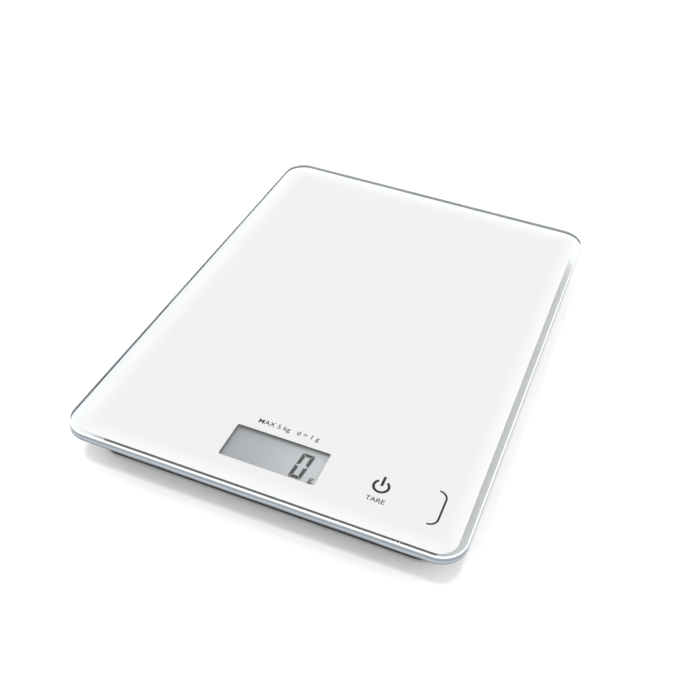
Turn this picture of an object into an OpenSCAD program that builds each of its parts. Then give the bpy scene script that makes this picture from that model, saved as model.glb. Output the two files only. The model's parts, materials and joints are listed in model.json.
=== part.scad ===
// Glass kitchen scale with a single load cell.
// Origin at the middle of the footprint on the table, +Z up, the display at the -Y end.
// The glass platform and everything fixed to it moves on the load cell against the base.

/* [Glass platform] */
// Width of the glass plate, left to right
plate_w = 163; // [130:1:200]
// Depth of the glass plate, front to back
plate_d = 225.5; // [180:1:280]
// Thickness of the glass
plate_t = 4; // [3:0.5:6]
// Corner radius of the glass
plate_r = 11; // [10:0.5:20]
// Width of the polished bevel round the top edge
top_arris = 0.7; // [0.3:0.1:1.2]
// Width of the bevel round the bottom edge
bottom_arris = 0.45; // [0.2:0.05:1]

/* [Back print] */
// Clear glass left outside the white print
print_margin = 3.6; // [1:0.05:5]
// Thickness of the white print
print_t = 0.2; // [0.15:0.05:0.4]
// Depth of the black symbols in the print
ink_t = 0.1; // [0.05:0.01:0.12]
// Width of the display window
window_w = 39.8; // [30:0.2:44]
// Depth of the display window, front to back
window_d = 17.5; // [12:0.5:19]
// Corner radius of the display window
window_r = 0.8; // [0.3:0.1:2]
// Sideways place of the display window
window_x = 0.1; // [-20:0.1:5]
// Distance of the power symbol's centre from the right edge of the glass
icon_side = 38.3; // [31:0.2:45]
// Distance of the power symbol's centre from the front edge of the glass
icon_front = 24.7; // [22:0.1:28]
// Outer radius of the power symbol
icon_r = 3.5; // [2.5:0.1:5]
// Line width of the power symbol
icon_line = 1.1; // [0.5:0.1:1.2]
// Distance of the bracket symbol's outer side from the right edge of the glass
bracket_side = 13.4; // [9:0.25:15]
// Distance of the bracket symbol from the front edge of the glass
bracket_front = 14.5; // [12:0.5:20]
// Length of the bracket symbol
bracket_d = 17.6; // [14:0.2:22]
// Radius of the bracket symbol's two quarter rounds
bracket_r = 3.9; // [2:0.1:5]
// Line width of the bracket symbol
bracket_line = 0.8; // [0.4:0.05:1]

/* [Housing] */
// How far the housing stays inside the edge of the glass
body_inset = 9.0; // [6:0.5:14]
// Corner radius of the housing
body_r = 10; // [6:0.5:16]
// Wall thickness of the two plastic trays
wall = 1.8; // [1.4:0.1:2.4]
// Floor thickness of the base tray
floor_t = 1.6; // [1.4:0.1:2.4]
// Thickness of the carrier's deck
deck_t = 1.5; // [1.4:0.1:2.4]
// Height of the base tray
base_h = 7; // [6:0.1:7.4]
// Open gap between the base tray and the carrier's skirt
shadow_gap = 0.8; // [0.7:0.1:1.2]
// Thickness of the tongue on the base tray's wall that closes the gap to sight
tongue_t = 0.7; // [0.6:0.1:0.8]
// Height of the tongue above the base tray's wall
tongue_h = 1.8; // [1.2:0.1:2]
// Gap between the tongue and the carrier's skirt
tongue_gap = 0.4; // [0.3:0.05:0.5]
// Bevel round the bottom edge of the base tray
base_bevel = 0.6; // [0.3:0.1:1.2]
// Thickness of the stiffening ribs
rib_t = 1.2; // [0.8:0.1:2]
// Height of the base tray's ribs
base_rib_h = 3; // [1:0.1:3.2]
// Height of the carrier's ribs
deck_rib_h = 1.5; // [0.5:0.1:1.8]
// Thickness of the double-sided tape under the print
tape_t = 0.3; // [0.2:0.05:0.6]
// Width of the tape strips
tape_w = 6; // [3:0.5:8]

/* [Load cell] */
// Length of the load cell's flexing middle
cell_mid = 20; // [16:0.5:26]
// Length of each bolted end of the load cell
cell_grip = 20; // [16:0.5:24]
// Width of the load cell
cell_w = 12; // [10:0.5:16]
// Height of the load cell
cell_h = 6; // [5.5:0.1:8]
// Gap between the base floor and the load cell
cell_gap = 1.5; // [1.2:0.1:2.5]
// Distance of the bolt holes from the two ends of each grip
cell_hole_edge = 5; // [4:0.5:6]
// Radius of the two flexure bores
flex_r = 2.3; // [1.8:0.1:2.4]
// Distance of each flexure bore from the bolted end
flex_edge = 4; // [3:0.5:5]
// Height of the slot that joins the flexure bores
flex_slot = 1.4; // [1:0.1:3]
// Thickness of the steel load plate
load_plate_t = 1.2; // [1:0.1:2]
// Length of the load plate
load_plate_l = 40; // [30:1:46]
// Width of the load plate
load_plate_w = 40; // [30:1:60]
// Height of the pads between the load plate and the deck
pad_h = 0.7; // [0.4:0.1:1.5]
// Greatest travel of the platform before the overload stop
travel = 0.5; // [0.3:0.05:0.6]

/* [Display] */
// How far the display glass reaches past the window at each side
lcd_side = 3.1; // [2.5:0.1:4]
// How far the display's rear glass reaches past the window at front and back
lcd_end = 1.25; // [1:0.05:2]
// Width of the display frame's rim at front and back
frame_rim = 1.25; // [1:0.05:2]
// Gap between the display frame and the housing's front wall
frame_wall = 1.2; // [0.1:0.05:2]
// Thickness of each display glass
lcd_glass_t = 1.1; // [0.7:0.05:1.2]
// Depth of the contact ledge on the front glass
lcd_ledge = 3; // [2.6:0.1:3.5]
// Thickness of the reflector film
film_t = 0.15; // [0.1:0.05:0.3]
// Thickness of the deck's lip over the display
lip_t = 0.5; // [0.4:0.1:0.8]
// Height of the digit
digit_h = 13.2; // [8:0.1:14]
// Width of the digit
digit_w = 5.2; // [4:0.1:8]
// Line width of the digit
digit_line = 1.5; // [0.6:0.1:1.6]
// Gap between the digit's bars
digit_gap = 0.24; // [0.1:0.02:0.6]
// Slant of the digit, sideways shift over height
digit_slant = 0.08; // [0:0.01:0.2]
// Distance of the digit's middle from the right side of the window
digit_side = 8.6; // [7:0.1:16]

/* [Electronics] */
// How far the main board reaches past the display frame
board_left = 9.5; // [7:0.5:12]
// How far the main board reaches past the power symbol's centre
board_right = 13.4; // [11:0.2:16]
// Depth of the main board
board_d = 33; // [32:0.5:36]
// Thickness of the boards
board_t = 1.2; // [0.8:0.1:1.6]
// Gap between the board and the underside of the deck
board_drop = 3.4; // [3.2:0.1:3.8]
// Radius of the touch electrode
electrode_r = 6.3; // [4:0.1:7]
// Outer radius of the touch spring
spring_r = 3; // [2:0.1:3.4]
// Wire diameter of the touch spring
spring_wire = 0.5; // [0.4:0.05:0.8]
// Turns of the touch spring
spring_turns = 5; // [3:1:7]

/* [Battery] */
// Diameter of the coin cell
coin_dia = 20; // [16:0.5:24.5]
// Thickness of the coin cell
coin_h = 3.2; // [2:0.1:4]
// Distance of the coin cell's middle from the housing's left side
bay_side = 29.5; // [26:0.5:36]
// Width of the battery door beyond the coin cell
door_side = 3; // [2.5:0.5:5]
// Length of the battery door beyond the coin cell, at each end
door_end = 7; // [6:0.5:9]
// Thickness of the battery door
door_t = 1.4; // [1.2:0.1:1.6]
// Radius of the door's hinge barrel
barrel_r = 1.2; // [1.1:0.1:1.4]
// Radius of the door's hinge pins
hinge_pin_r = 0.6; // [0.5:0.05:0.8]
// Length of each hinge pin
hinge_pin_l = 1.2; // [0.8:0.1:1.4]
// Wall of the battery compartment
bay_wall = 2.2; // [2:0.1:3]

/* [Unit button] */
// Distance of the unit button from the housing's right side
unit_side = 29.5; // [24:0.5:36]
// Distance of the unit button behind the main board
unit_back = 22.5; // [18:0.5:28]
// Radius of the unit button
unit_r = 3.5; // [2.5:0.1:4]
// Travel of the unit button
unit_travel = 0.3; // [0.2:0.05:0.4]

/* [Feet and fasteners] */
// Height of the feet below the base
foot_h = 1; // [0.8:0.1:2]
// Radius of the feet
foot_r = 6; // [4:0.5:8]
// Depth of the foot pockets
foot_pocket = 0.6; // [0.4:0.1:0.8]
// Distance of a foot's centre from the base's sides
foot_inset = 11.5; // [11:0.5:20]
// Thread radius of the small screws
small_screw_r = 1; // [0.8:0.05:1.25]
// Thread radius of the load plate screws
plate_screw_r = 1.25; // [1:0.05:1.5]
// Thread radius of the load cell screws
cell_screw_r = 1.5; // [1.25:0.05:1.75]
// Width of the blank rating label
label_w = 64; // [40:1:90]
// Depth of the blank rating label
label_d = 30; // [20:1:34]

/* [Clearances] */
// Gap round loose parts and moving parts
gap = 0.3; // [0.2:0.05:0.4]
// Radial clearance of pins and screws in their holes
fit = 0.05; // [0.02:0.01:0.1]

/* [Hidden] */
$fn = 48;
eps = 0.01;
corner_steps = 12;
wire_sides = 8;

// Heights, from the table upwards
z_base = foot_h;
z_floor = z_base + floor_t;
z_cell = z_floor + cell_gap;
z_cell_top = z_cell + cell_h;
z_load_plate = z_cell_top;
z_pad = z_load_plate + load_plate_t;
z_deck = z_pad + pad_h;
z_tape = z_deck + deck_t;
z_print = z_tape + tape_t;
z_glass = z_print + print_t;
z_top = z_glass + plate_t;
z_split = z_base + base_h;
z_skirt = z_split + shadow_gap;
z_board_top = z_deck - board_drop;
z_board = z_board_top - board_t;

// Housing footprint
body_w = plate_w - 2 * body_inset;
body_d = plate_d - 2 * body_inset;
inner_w = body_w - 2 * wall;
inner_d = body_d - 2 * wall;
inner_r = body_r - wall;
skin_t = wall - tongue_t - tongue_gap;
z_rebate = z_split + tongue_h + travel + gap;
rib_side = inner_w / 2 - 5.7;
rib_end = inner_d / 2 - 4.2;
rear_ribs = [0.3, 0.54, 0.78] * inner_d / 2;

// Display
front_y = -plate_d / 2;
window_y = front_y + body_inset + wall + frame_wall + frame_rim + lcd_end + window_d / 2;
icon_x = plate_w / 2 - icon_side;
icon_y = front_y + icon_front;
bracket_x = plate_w / 2 - bracket_side;
lcd_w = window_w + 2 * lcd_side;
lcd_d = window_d + 2 * lcd_end;
digit_x = window_x + window_w / 2 - digit_side;
z_lcd_top = z_tape - lip_t;
z_lcd_mid = z_lcd_top - lcd_glass_t;
z_lcd_rear = z_lcd_mid - lcd_glass_t;
z_film = z_lcd_rear - film_t;
lcd_front_y = window_y - lcd_d / 2;
lcd_seat_y = window_y + lcd_ledge / 2;
lcd_full_d = lcd_d + lcd_ledge;
lcd_fit = 0.15;
frame_w = lcd_w + 4;
frame_front_y = lcd_front_y - frame_rim;
frame_back_y = lcd_front_y + lcd_full_d + frame_rim;
zebra_w = lcd_w - 4;
zebra_d = 2;
zebra_y = lcd_front_y + lcd_d + lcd_ledge / 2;
segment_t = 0.05;

// Main board
board_x0 = window_x - frame_w / 2 - board_left;
board_x1 = icon_x + board_right;
board_x = (board_x0 + board_x1) / 2;
board_w = board_x1 - board_x0;
board_front_y = frame_front_y + 0.5;
board_y = board_front_y + board_d / 2;
board_rear_y = board_front_y + board_d;
front_rib = board_rear_y + 1.2;
board_hole_x = board_w / 2 - 3;
board_hole_y = board_d / 2 - 3;
board_holes = [for (sx = [-1, 1]) for (sy = [-1, 1]) [board_x + sx * board_hole_x,
    board_y + sy * board_hole_y]];
boss_wall = 1.5;
small_hole_r = small_screw_r + fit;
small_head_r = small_screw_r + 0.9;
head_h = 1.2;
spring_hole_r = spring_r + 1;
electrode_t = 0.2;

// Load cell
cell_l = cell_mid + 2 * cell_grip;
cell_end = cell_l / 2;
flex_x = cell_mid / 2 - flex_edge;
bolt_x = [cell_mid / 2 + cell_hole_edge, cell_end - cell_hole_edge];
cell_hole_r = cell_screw_r + fit;
load_plate_x0 = cell_mid / 2 + 0.5;
load_plate_x = load_plate_x0 + load_plate_l / 2;
plate_holes = [for (sx = [-1, 1]) for (sy = [-1, 1])
    [load_plate_x + sx * (load_plate_l / 2 - 4), sy * (load_plate_w / 2 - 4)]];
plate_hole_r = plate_screw_r + fit;
plate_head_r = plate_screw_r + 1.05;
cell_head_r = cell_screw_r + 1.25;
cell_head_h = 1.0;
counterbore = 1.3;
gauge_l = 5;
gauge_w = 4;
gauge_t = 0.08;
sealant_t = 0.5;
sealant_l = 2 * (flex_x + gauge_l / 2);
stop_x = cell_end - 2;

// Battery compartment
door_w = coin_dia + 2 * door_side;
door_l = coin_dia + 2 * door_end;
bay_x = bay_side - body_w / 2;
bay_y = (board_rear_y - cell_w / 2 - 2) / 2;
coin_gap = 0.3;
coin_r = coin_dia / 2;
z_bay_seat = z_base + door_t + gap;
z_coin = z_bay_seat + 0.2;
contact_t = 0.25;
z_bay_roof = z_coin + coin_h + 0.4;
bay_roof_t = 1.1;
z_bay_top = z_bay_roof + bay_roof_t;
contact_w = 6;
z_hinge = z_base + barrel_r;
hinge_y = bay_y + door_l / 2 - barrel_r;
positive_x = bay_x - coin_r - 0.05;
negative_y = bay_y + coin_r * 0.75;

// Unit button
unit_x = body_w / 2 - unit_side;
unit_y = board_rear_y + unit_back;
flange_side = 1.2;
z_flange = z_floor + 0.1;
flange_t = 0.6;
z_plunger = z_flange + flange_t + 0.4;
z_switch = z_plunger + unit_travel + 0.3;
switch_h = 2.3;
z_switch_board = z_switch + switch_h;
switch_side = 6;
switch_board_d = 10;
switch_hole_x = unit_r + flange_side + 0.8 + small_screw_r + boss_wall;
switch_board_w = 2 * (switch_hole_x + 3);
plunger_r = 1.7;

// ---- Shared shapes ----

// Outline of a rectangle with round corners, centred on the origin
module rounded_rect(w, d, r) {
    polygon([for (c = [0:3]) for (i = [0:corner_steps])
        let (a = 90 * (c + i / corner_steps), sx = (c == 0 || c == 3) ? 1 : -1, sy = c < 2 ? 1 : -1)
        [sx * (w / 2 - r) + r * cos(a), sy * (d / 2 - r) + r * sin(a)]]);
}

// Rounded plate of height h whose underside is at z
module slab(w, d, r, z, h) {
    translate([0, 0, z]) linear_extrude(h) rounded_rect(w, d, r);
}

// Rounded plate with its middle at x, y
module slab_at(x, y, w, d, r, z, h) {
    translate([x, y, 0]) slab(w, d, r, z, h);
}

// Box given by its middle in plan, its underside and its size
module block(x, y, z, w, d, h) {
    translate([x - w / 2, y - d / 2, z]) cube([w, d, h]);
}

// Cylinder given by its axis in plan, its underside, radius and height
module peg(x, y, z, r, h) {
    translate([x, y, z]) cylinder(r = r, h = h);
}

// Pan head screw at the origin with its shank up and its head below z = 0
module screw(r, l, head_r, head_h) {
    slot_w = head_r * 0.28;
    slot_l = head_r * 1.1;
    difference() {
        union() {
            cylinder(r = r, h = l);
            translate([0, 0, -head_h]) cylinder(r = head_r, h = head_h);
        }
        for (a = [0, 90]) rotate([0, 0, a])
            block(0, 0, -head_h - 1, slot_l, slot_w, 1 + head_h * 0.55);
    }
}

// Point on a Catmull-Rom curve between b and c
function blend_point(a, b, c, d, t) =
    0.5 * (2 * b + (c - a) * t + (2 * a - 5 * b + 4 * c - d) * t * t + (3 * b - a - 3 * c + d) * t * t * t);

// Smooth route through control points with a few steps for each stretch
function route(p, steps) = concat(
    [for (i = [0:len(p) - 2]) for (k = [0:steps - 1])
        blend_point(p[max(i - 1, 0)], p[i], p[i + 1], p[min(i + 2, len(p) - 1)], k / steps)],
    [p[len(p) - 1]]);

// Unit vector along v
function unit(v) = v / norm(v);

// Round wire of radius r along a route; side is a direction that the route never follows
module wire(p, r, side) {
    n = len(p);
    rings = [for (i = [0:n - 1])
        let (t = unit(p[min(i + 1, n - 1)] - p[max(i - 1, 0)]), u = unit(cross(t, side)), v = cross(t, u))
        for (k = [0:wire_sides - 1]) let (a = 360 * k / wire_sides) p[i] + r * (cos(a) * u + sin(a) * v)];
    walls = [for (i = [0:n - 2]) for (k = [0:wire_sides - 1])
        let (j = (k + 1) % wire_sides, b = i * wire_sides, c = b + wire_sides) [b + j, b + k, c + k, c + j]];
    polyhedron(rings, concat(
        walls,
        [[for (k = [0:wire_sides - 1]) k]],
        [[for (k = [wire_sides - 1:-1:0]) (n - 1) * wire_sides + k]]));
}

// ---- Glass platform ----

module glass_plate() {
    color([0.86, 0.93, 0.93, 0.45]) hull() {
        slab(plate_w - 2 * bottom_arris, plate_d - 2 * bottom_arris, plate_r - bottom_arris, z_glass,
            plate_t / 2);
        slab(plate_w, plate_d, plate_r, z_glass + bottom_arris, plate_t - bottom_arris - top_arris);
        slab(plate_w - 2 * top_arris, plate_d - 2 * top_arris, plate_r - top_arris, z_top - plate_t / 2,
            plate_t / 2);
    }
}

// Power symbol: an open ring with a bar in its gap
module power_outline() {
    gap_half = 35;
    steps = 24;
    inner = icon_r - icon_line;
    angles = [for (i = [0:steps]) 90 + gap_half + (360 - 2 * gap_half) * i / steps];
    polygon(concat(
        [for (a = angles) icon_r * [cos(a), sin(a)]],
        [for (i = [steps:-1:0]) inner * [cos(angles[i]), sin(angles[i])]]));
    translate([-icon_line / 2, 0.2]) square([icon_line, icon_r * 1.4]);
}

// Bracket symbol: a straight line with a quarter round at each end
module bracket_outline() {
    r = bracket_r;
    inner = r - bracket_line;
    straight = bracket_d / 2 - r;
    outer_arc = [for (i = [0:corner_steps]) let (a = 90 - 90 * i / corner_steps) [r * cos(a) - r,
        straight + r * sin(a)]];
    inner_arc = [for (i = [0:corner_steps]) let (a = 90 * i / corner_steps) [inner * cos(a) - r,
        straight + inner * sin(a)]];
    polygon(concat(
        outer_arc,
        [for (i = [corner_steps:-1:0]) [outer_arc[i][0], -outer_arc[i][1]]],
        [for (i = [corner_steps:-1:0]) [inner_arc[i][0], -inner_arc[i][1]]],
        inner_arc));
}

// Both black symbols, seen from above
module symbol_outlines() {
    translate([icon_x, icon_y]) power_outline();
    translate([bracket_x, front_y + bracket_front + bracket_d / 2]) bracket_outline();
}

module back_print() {
    color([0.96, 0.97, 0.97]) difference() {
        slab(plate_w - 2 * print_margin, plate_d - 2 * print_margin, plate_r - print_margin, z_print,
            print_t);
        slab_at(window_x, window_y, window_w, window_d, window_r, z_print - 1, print_t + 2);
        translate([0, 0, z_glass - ink_t]) linear_extrude(1) symbol_outlines();
    }
}

module symbol_print() {
    color([0.05, 0.05, 0.05]) translate([0, 0, z_glass - ink_t]) linear_extrude(ink_t) symbol_outlines();
}

// Tape strips: a frame along the carrier's edge and two lengthwise strips
module adhesive_tape() {
    strip_x = body_w / 2 - 3 * tape_w - 12;
    front = board_front_y + board_d;
    color([0.85, 0.85, 0.8]) {
        difference() {
            slab(body_w - 1, body_d - 1, body_r - 0.5, z_tape, tape_t);
            slab(body_w - 1 - 2 * tape_w, body_d - 1 - 2 * tape_w, body_r - 0.5, z_tape - 1, tape_t + 2);
            block(window_x, window_y, z_tape - 1, window_w + 1, window_d + 1, tape_t + 2);
        }
        for (sx = [-1, 1]) translate([sx * strip_x - tape_w / 2, front, z_tape])
            cube([tape_w, inner_d / 2 - tape_w - front - 2, tape_t]);
    }
}

// Stiffening ribs under the carrier's deck
module deck_ribs() {
    z = z_deck - deck_rib_h;
    for (sx = [-1, 1]) block(sx * rib_side, 0, z, rib_t, 2 * rib_end, deck_rib_h + eps);
    for (y = concat(rear_ribs, [front_rib])) block(0, y, z, 2 * rib_side, rib_t, deck_rib_h + eps);
}

// Black upper tray, glued under the glass, that carries the display, the board and the load plate
module carrier() {
    boss_r = small_screw_r + boss_wall;
    color([0.07, 0.07, 0.08]) difference() {
        union() {
            difference() {
                slab(body_w, body_d, body_r, z_skirt, z_tape - z_skirt);
                slab(inner_w, inner_d, inner_r, z_skirt - 1, z_deck - z_skirt + 1);
                slab(body_w - 2 * skin_t, body_d - 2 * skin_t, body_r - skin_t, z_skirt - 1,
                    z_rebate - z_skirt + 1);
            }
            for (p = board_holes) peg(p[0], p[1], z_board_top, boss_r, board_drop + eps);
            for (p = plate_holes) peg(p[0], p[1], z_pad, plate_screw_r + 2, pad_h + eps);
            difference() {
                deck_ribs();
                block(load_plate_x, 0, z_load_plate - 5, load_plate_l + 2 * gap, load_plate_w + 2 * gap,
                    load_plate_t + 5 + gap);
            }
        }
        for (p = board_holes) peg(p[0], p[1], z_board_top - 1, small_hole_r, board_drop);
        for (p = plate_holes) peg(p[0], p[1], z_pad - 1, plate_hole_r, pad_h + deck_t + 0.8);
        for (x = bolt_x) peg(x, 0, z_deck - 1, cell_head_r + gap, deck_t + 2);
        block(window_x, window_y, z_deck, window_w + 1, window_d + 1, deck_t + 1);
        block(window_x, lcd_seat_y, z_deck - 1, lcd_w + 2 * lcd_fit, lcd_full_d + 2 * lcd_fit,
            z_lcd_top - z_deck + 1);
        peg(icon_x, icon_y, z_deck - 1, spring_hole_r, deck_t + 2);
        peg(icon_x, icon_y, z_tape - electrode_t, electrode_r + fit, electrode_t + 1);
    }
}

// ---- Display ----

module lcd_front_glass() {
    color([0.75, 0.8, 0.78, 0.5])
        block(window_x, lcd_seat_y, z_lcd_mid, lcd_w, lcd_full_d, lcd_glass_t);
}

module lcd_rear_glass() {
    color([0.7, 0.75, 0.73, 0.6]) difference() {
        block(window_x, window_y, z_lcd_rear, lcd_w, lcd_d, lcd_glass_t);
        translate([0, 0, z_lcd_mid - segment_t]) linear_extrude(1) digit_outline();
    }
}

// One bar of the digit from its corners about the digit's middle, slanted
module segment(corners) {
    polygon([for (p = corners) [digit_x + p[0] + digit_slant * p[1], window_y + p[1]]]);
}

// The digit nought: all the bars of a seven segment figure but the middle one, mitred at the corners
module digit_outline() {
    w = digit_w / 2;
    h = digit_h / 2;
    mitre = digit_gap / sqrt(2);
    slit = digit_gap / 2;
    for (s = [-1, 1]) {
        segment([[mitre - w, s * h], [w - mitre, s * h], [w - digit_line - mitre, s * (h - digit_line)],
            [digit_line + mitre - w, s * (h - digit_line)]]);
        for (k = [-1, 1]) segment([[s * w, k * (h - mitre)], [s * (w - digit_line),
            k * (h - digit_line - mitre)],
            [s * (w - digit_line), k * (slit + digit_line / 2)], [s * w, k * slit]]);
    }
}

module lcd_segments() {
    color([0.2, 0.22, 0.22]) translate([0, 0, z_lcd_mid - segment_t]) linear_extrude(segment_t)
        digit_outline();
}

module lcd_reflector() {
    color([0.78, 0.8, 0.78]) block(window_x, window_y, z_film, lcd_w, lcd_d, film_t);
}

// Frame that seats the display on the board and guides the rubber connector
module lcd_frame() {
    rim = 3;
    color([0.92, 0.92, 0.9]) difference() {
        translate([window_x - frame_w / 2, frame_front_y, z_board_top])
            cube([frame_w, frame_back_y - frame_front_y, z_deck - z_board_top]);
        block(window_x, lcd_seat_y, z_lcd_mid, lcd_w + 2 * lcd_fit, lcd_full_d + 2 * lcd_fit, 10);
        block(window_x, window_y, z_film, lcd_w + 2 * lcd_fit, lcd_d + 2 * lcd_fit, 10);
        block(window_x, window_y, z_board_top - 1, lcd_w - 2 * rim, lcd_d - 2 * rim, 10);
        block(window_x, zebra_y, z_board_top - 1, zebra_w + 2 * fit, zebra_d + 2 * fit, 10);
    }
}

module zebra_strip() {
    color([0.9, 0.75, 0.75]) block(window_x, zebra_y, z_board_top, zebra_w, zebra_d,
        z_lcd_mid - z_board_top);
}

// ---- Electronics on the carrier ----

module main_board() {
    color([0.08, 0.32, 0.16]) difference() {
        block(board_x, board_y, z_board, board_w, board_d, board_t);
        for (p = board_holes) peg(p[0], p[1], z_board - 1, small_screw_r + 2 * fit, board_t + 2);
    }
}

// Epoxy drop over the bonded chip, under the board
module controller_chip() {
    r = 7;
    h = 1.3;
    steps = 8;
    color([0.05, 0.05, 0.05]) translate([board_x - 4, board_y, z_board]) rotate_extrude()
        polygon(concat([[0, 0]], [for (i = [0:steps]) let (a = 90 * i / steps) [r * cos(a), -h * sin(a)]]));
}

// Small parts soldered under the board: a row of chip resistors, capacitors, a memory and a crystal
module board_components() {
    color([0.25, 0.22, 0.18]) {
        for (i = [0:6]) block(board_x - 22 + 3.2 * i, board_y + 12, z_board - 0.5, 1.25, 2, 0.5);
        for (i = [0:3]) block(board_x + 10 + 3.4 * i, board_y + 12, z_board - 0.8, 1.6, 2.6, 0.8);
        for (i = [0:3]) block(board_x + 9, board_y - 8 + 3 * i, z_board - 0.5, 2, 1.25, 0.5);
        block(board_x + 17, board_y - 6, z_board - 1.6, 5, 4, 1.6);
        block(board_x - 20, board_y - 6, z_board - 1.9, 8, 3.6, 1.9);
    }
}

module board_screws() {
    color([0.72, 0.73, 0.75]) for (p = board_holes) translate([p[0], p[1], z_board])
        screw(small_screw_r, board_t + board_drop - 1.4, small_head_r, head_h);
}

module touch_electrode() {
    color([0.8, 0.5, 0.3]) peg(icon_x, icon_y, z_tape - electrode_t, electrode_r, electrode_t);
}

// Coil spring between the board and the electrode
module touch_spring() {
    r = spring_r - spring_wire / 2;
    low = z_board_top + spring_wire / 2 + 0.02;
    high = z_tape - electrode_t - spring_wire / 2 - 0.02;
    steps = 14 * spring_turns;
    color([0.8, 0.8, 0.82]) wire(
        [for (i = [0:steps]) let (t = i / steps, a = 360 * spring_turns * t)
            [icon_x + r * cos(a), icon_y + r * sin(a), low + (high - low) * t]],
        spring_wire / 2, [0, 0, 1]);
}

// ---- Load cell ----

module load_plate() {
    color([0.66, 0.68, 0.7]) difference() {
        block(load_plate_x, 0, z_load_plate, load_plate_l, load_plate_w, load_plate_t);
        for (p = plate_holes) peg(p[0], p[1], z_load_plate - 1, plate_screw_r + 2 * fit, load_plate_t + 2);
        for (x = bolt_x) peg(x, 0, z_load_plate - 1, cell_screw_r + 2 * fit, load_plate_t + 2);
    }
}

module load_plate_screws() {
    color([0.72, 0.73, 0.75]) for (p = plate_holes) translate([p[0], p[1], z_load_plate])
        screw(plate_screw_r, load_plate_t + pad_h + deck_t - 0.3, plate_head_r, 1.1);
}

module platform_cell_screws() {
    color([0.72, 0.73, 0.75]) for (x = bolt_x) translate([x, 0, z_pad]) rotate([180, 0, 0])
        screw(cell_screw_r, load_plate_t + cell_h - 0.6, cell_head_r, cell_head_h);
}

// Aluminium bar with two joined bores that make its middle flex
module load_cell() {
    color([0.82, 0.83, 0.84]) difference() {
        block(0, 0, z_cell, cell_l, cell_w, cell_h);
        for (sx = [-1, 1]) translate([sx * flex_x, 0, z_cell + cell_h / 2]) rotate([90, 0, 0])
            cylinder(r = flex_r, h = cell_w + 2, center = true);
        block(0, 0, z_cell + (cell_h - flex_slot) / 2, 2 * flex_x, cell_w + 2, flex_slot);
        for (sx = [-1, 1]) for (x = bolt_x) peg(sx * x, 0, z_cell - 1, cell_hole_r, cell_h + 2);
    }
}

module gauge_patch(sx, z) {
    block(sx * flex_x, 0, z, gauge_l, gauge_w, gauge_t);
}

module strain_gauges() {
    color([0.8, 0.55, 0.2]) for (sx = [-1, 1]) {
        gauge_patch(sx, z_cell_top);
        gauge_patch(sx, z_cell - gauge_t);
    }
}

module gauge_sealant() {
    color([0.93, 0.93, 0.9]) difference() {
        union() {
            block(0, 0, z_cell_top, sealant_l, cell_w - 2, sealant_t);
            block(0, 0, z_cell - sealant_t, sealant_l, cell_w - 2, sealant_t);
        }
        strain_gauges();
    }
}

module base_cell_screws() {
    z = z_base + counterbore;
    color([0.72, 0.73, 0.75]) for (x = bolt_x) translate([-x, 0, z])
        screw(cell_screw_r, z_cell + cell_h - 1 - z, cell_head_r, counterbore - 0.2);
}

// Set screw under the free end of the load cell
module overload_stop() {
    color([0.6, 0.6, 0.62]) difference() {
        peg(stop_x, 0, z_base + 0.4, cell_screw_r, z_cell - travel - z_base - 0.4);
        block(stop_x, 0, z_base, 2 * cell_screw_r + 1, 0.5, 1.1);
    }
}

// ---- Base ----

// Material round the battery compartment
module bay_body() {
    translate([bay_x - door_w / 2 - gap - bay_wall, bay_y - door_l / 2 - gap - bay_wall, z_base])
        cube([door_w + 2 * (gap + bay_wall), door_l + 2 * (gap + bay_wall), z_bay_top - z_base]);
}

// Space for the door, the coin cell and the contacts
module bay_space() {
    block(bay_x, bay_y, z_base - 1, door_w + 2 * gap, door_l + 2 * gap, z_bay_seat - z_base + 1);
    peg(bay_x, bay_y, z_bay_seat - eps, coin_r + coin_gap, z_bay_roof - z_bay_seat + eps);
    translate([bay_x - door_w / 2 - gap, hinge_y - barrel_r - gap, z_base - 1])
        cube([door_w + 2 * gap, 2 * (barrel_r + gap), 2 * barrel_r + gap + 1]);
    translate([bay_x, hinge_y, z_hinge]) rotate([0, 90, 0])
        cylinder(r = hinge_pin_r + fit, h = door_w + 2 * (gap + hinge_pin_l), center = true);
    translate([positive_x - contact_t - 0.2, bay_y - contact_w / 2 - 0.1, z_bay_seat])
        cube([2, contact_w + 0.2, z_bay_top - z_bay_seat + 1]);
    translate([bay_x - contact_w / 2 - 0.1, negative_y - 0.1, z_bay_roof - 1])
        cube([contact_w + 0.2, contact_t + 0.2, bay_roof_t + 2]);
    block(bay_x, bay_y - door_l / 2 - gap, z_base - 1, 12, 5, 1.6);
}

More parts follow.
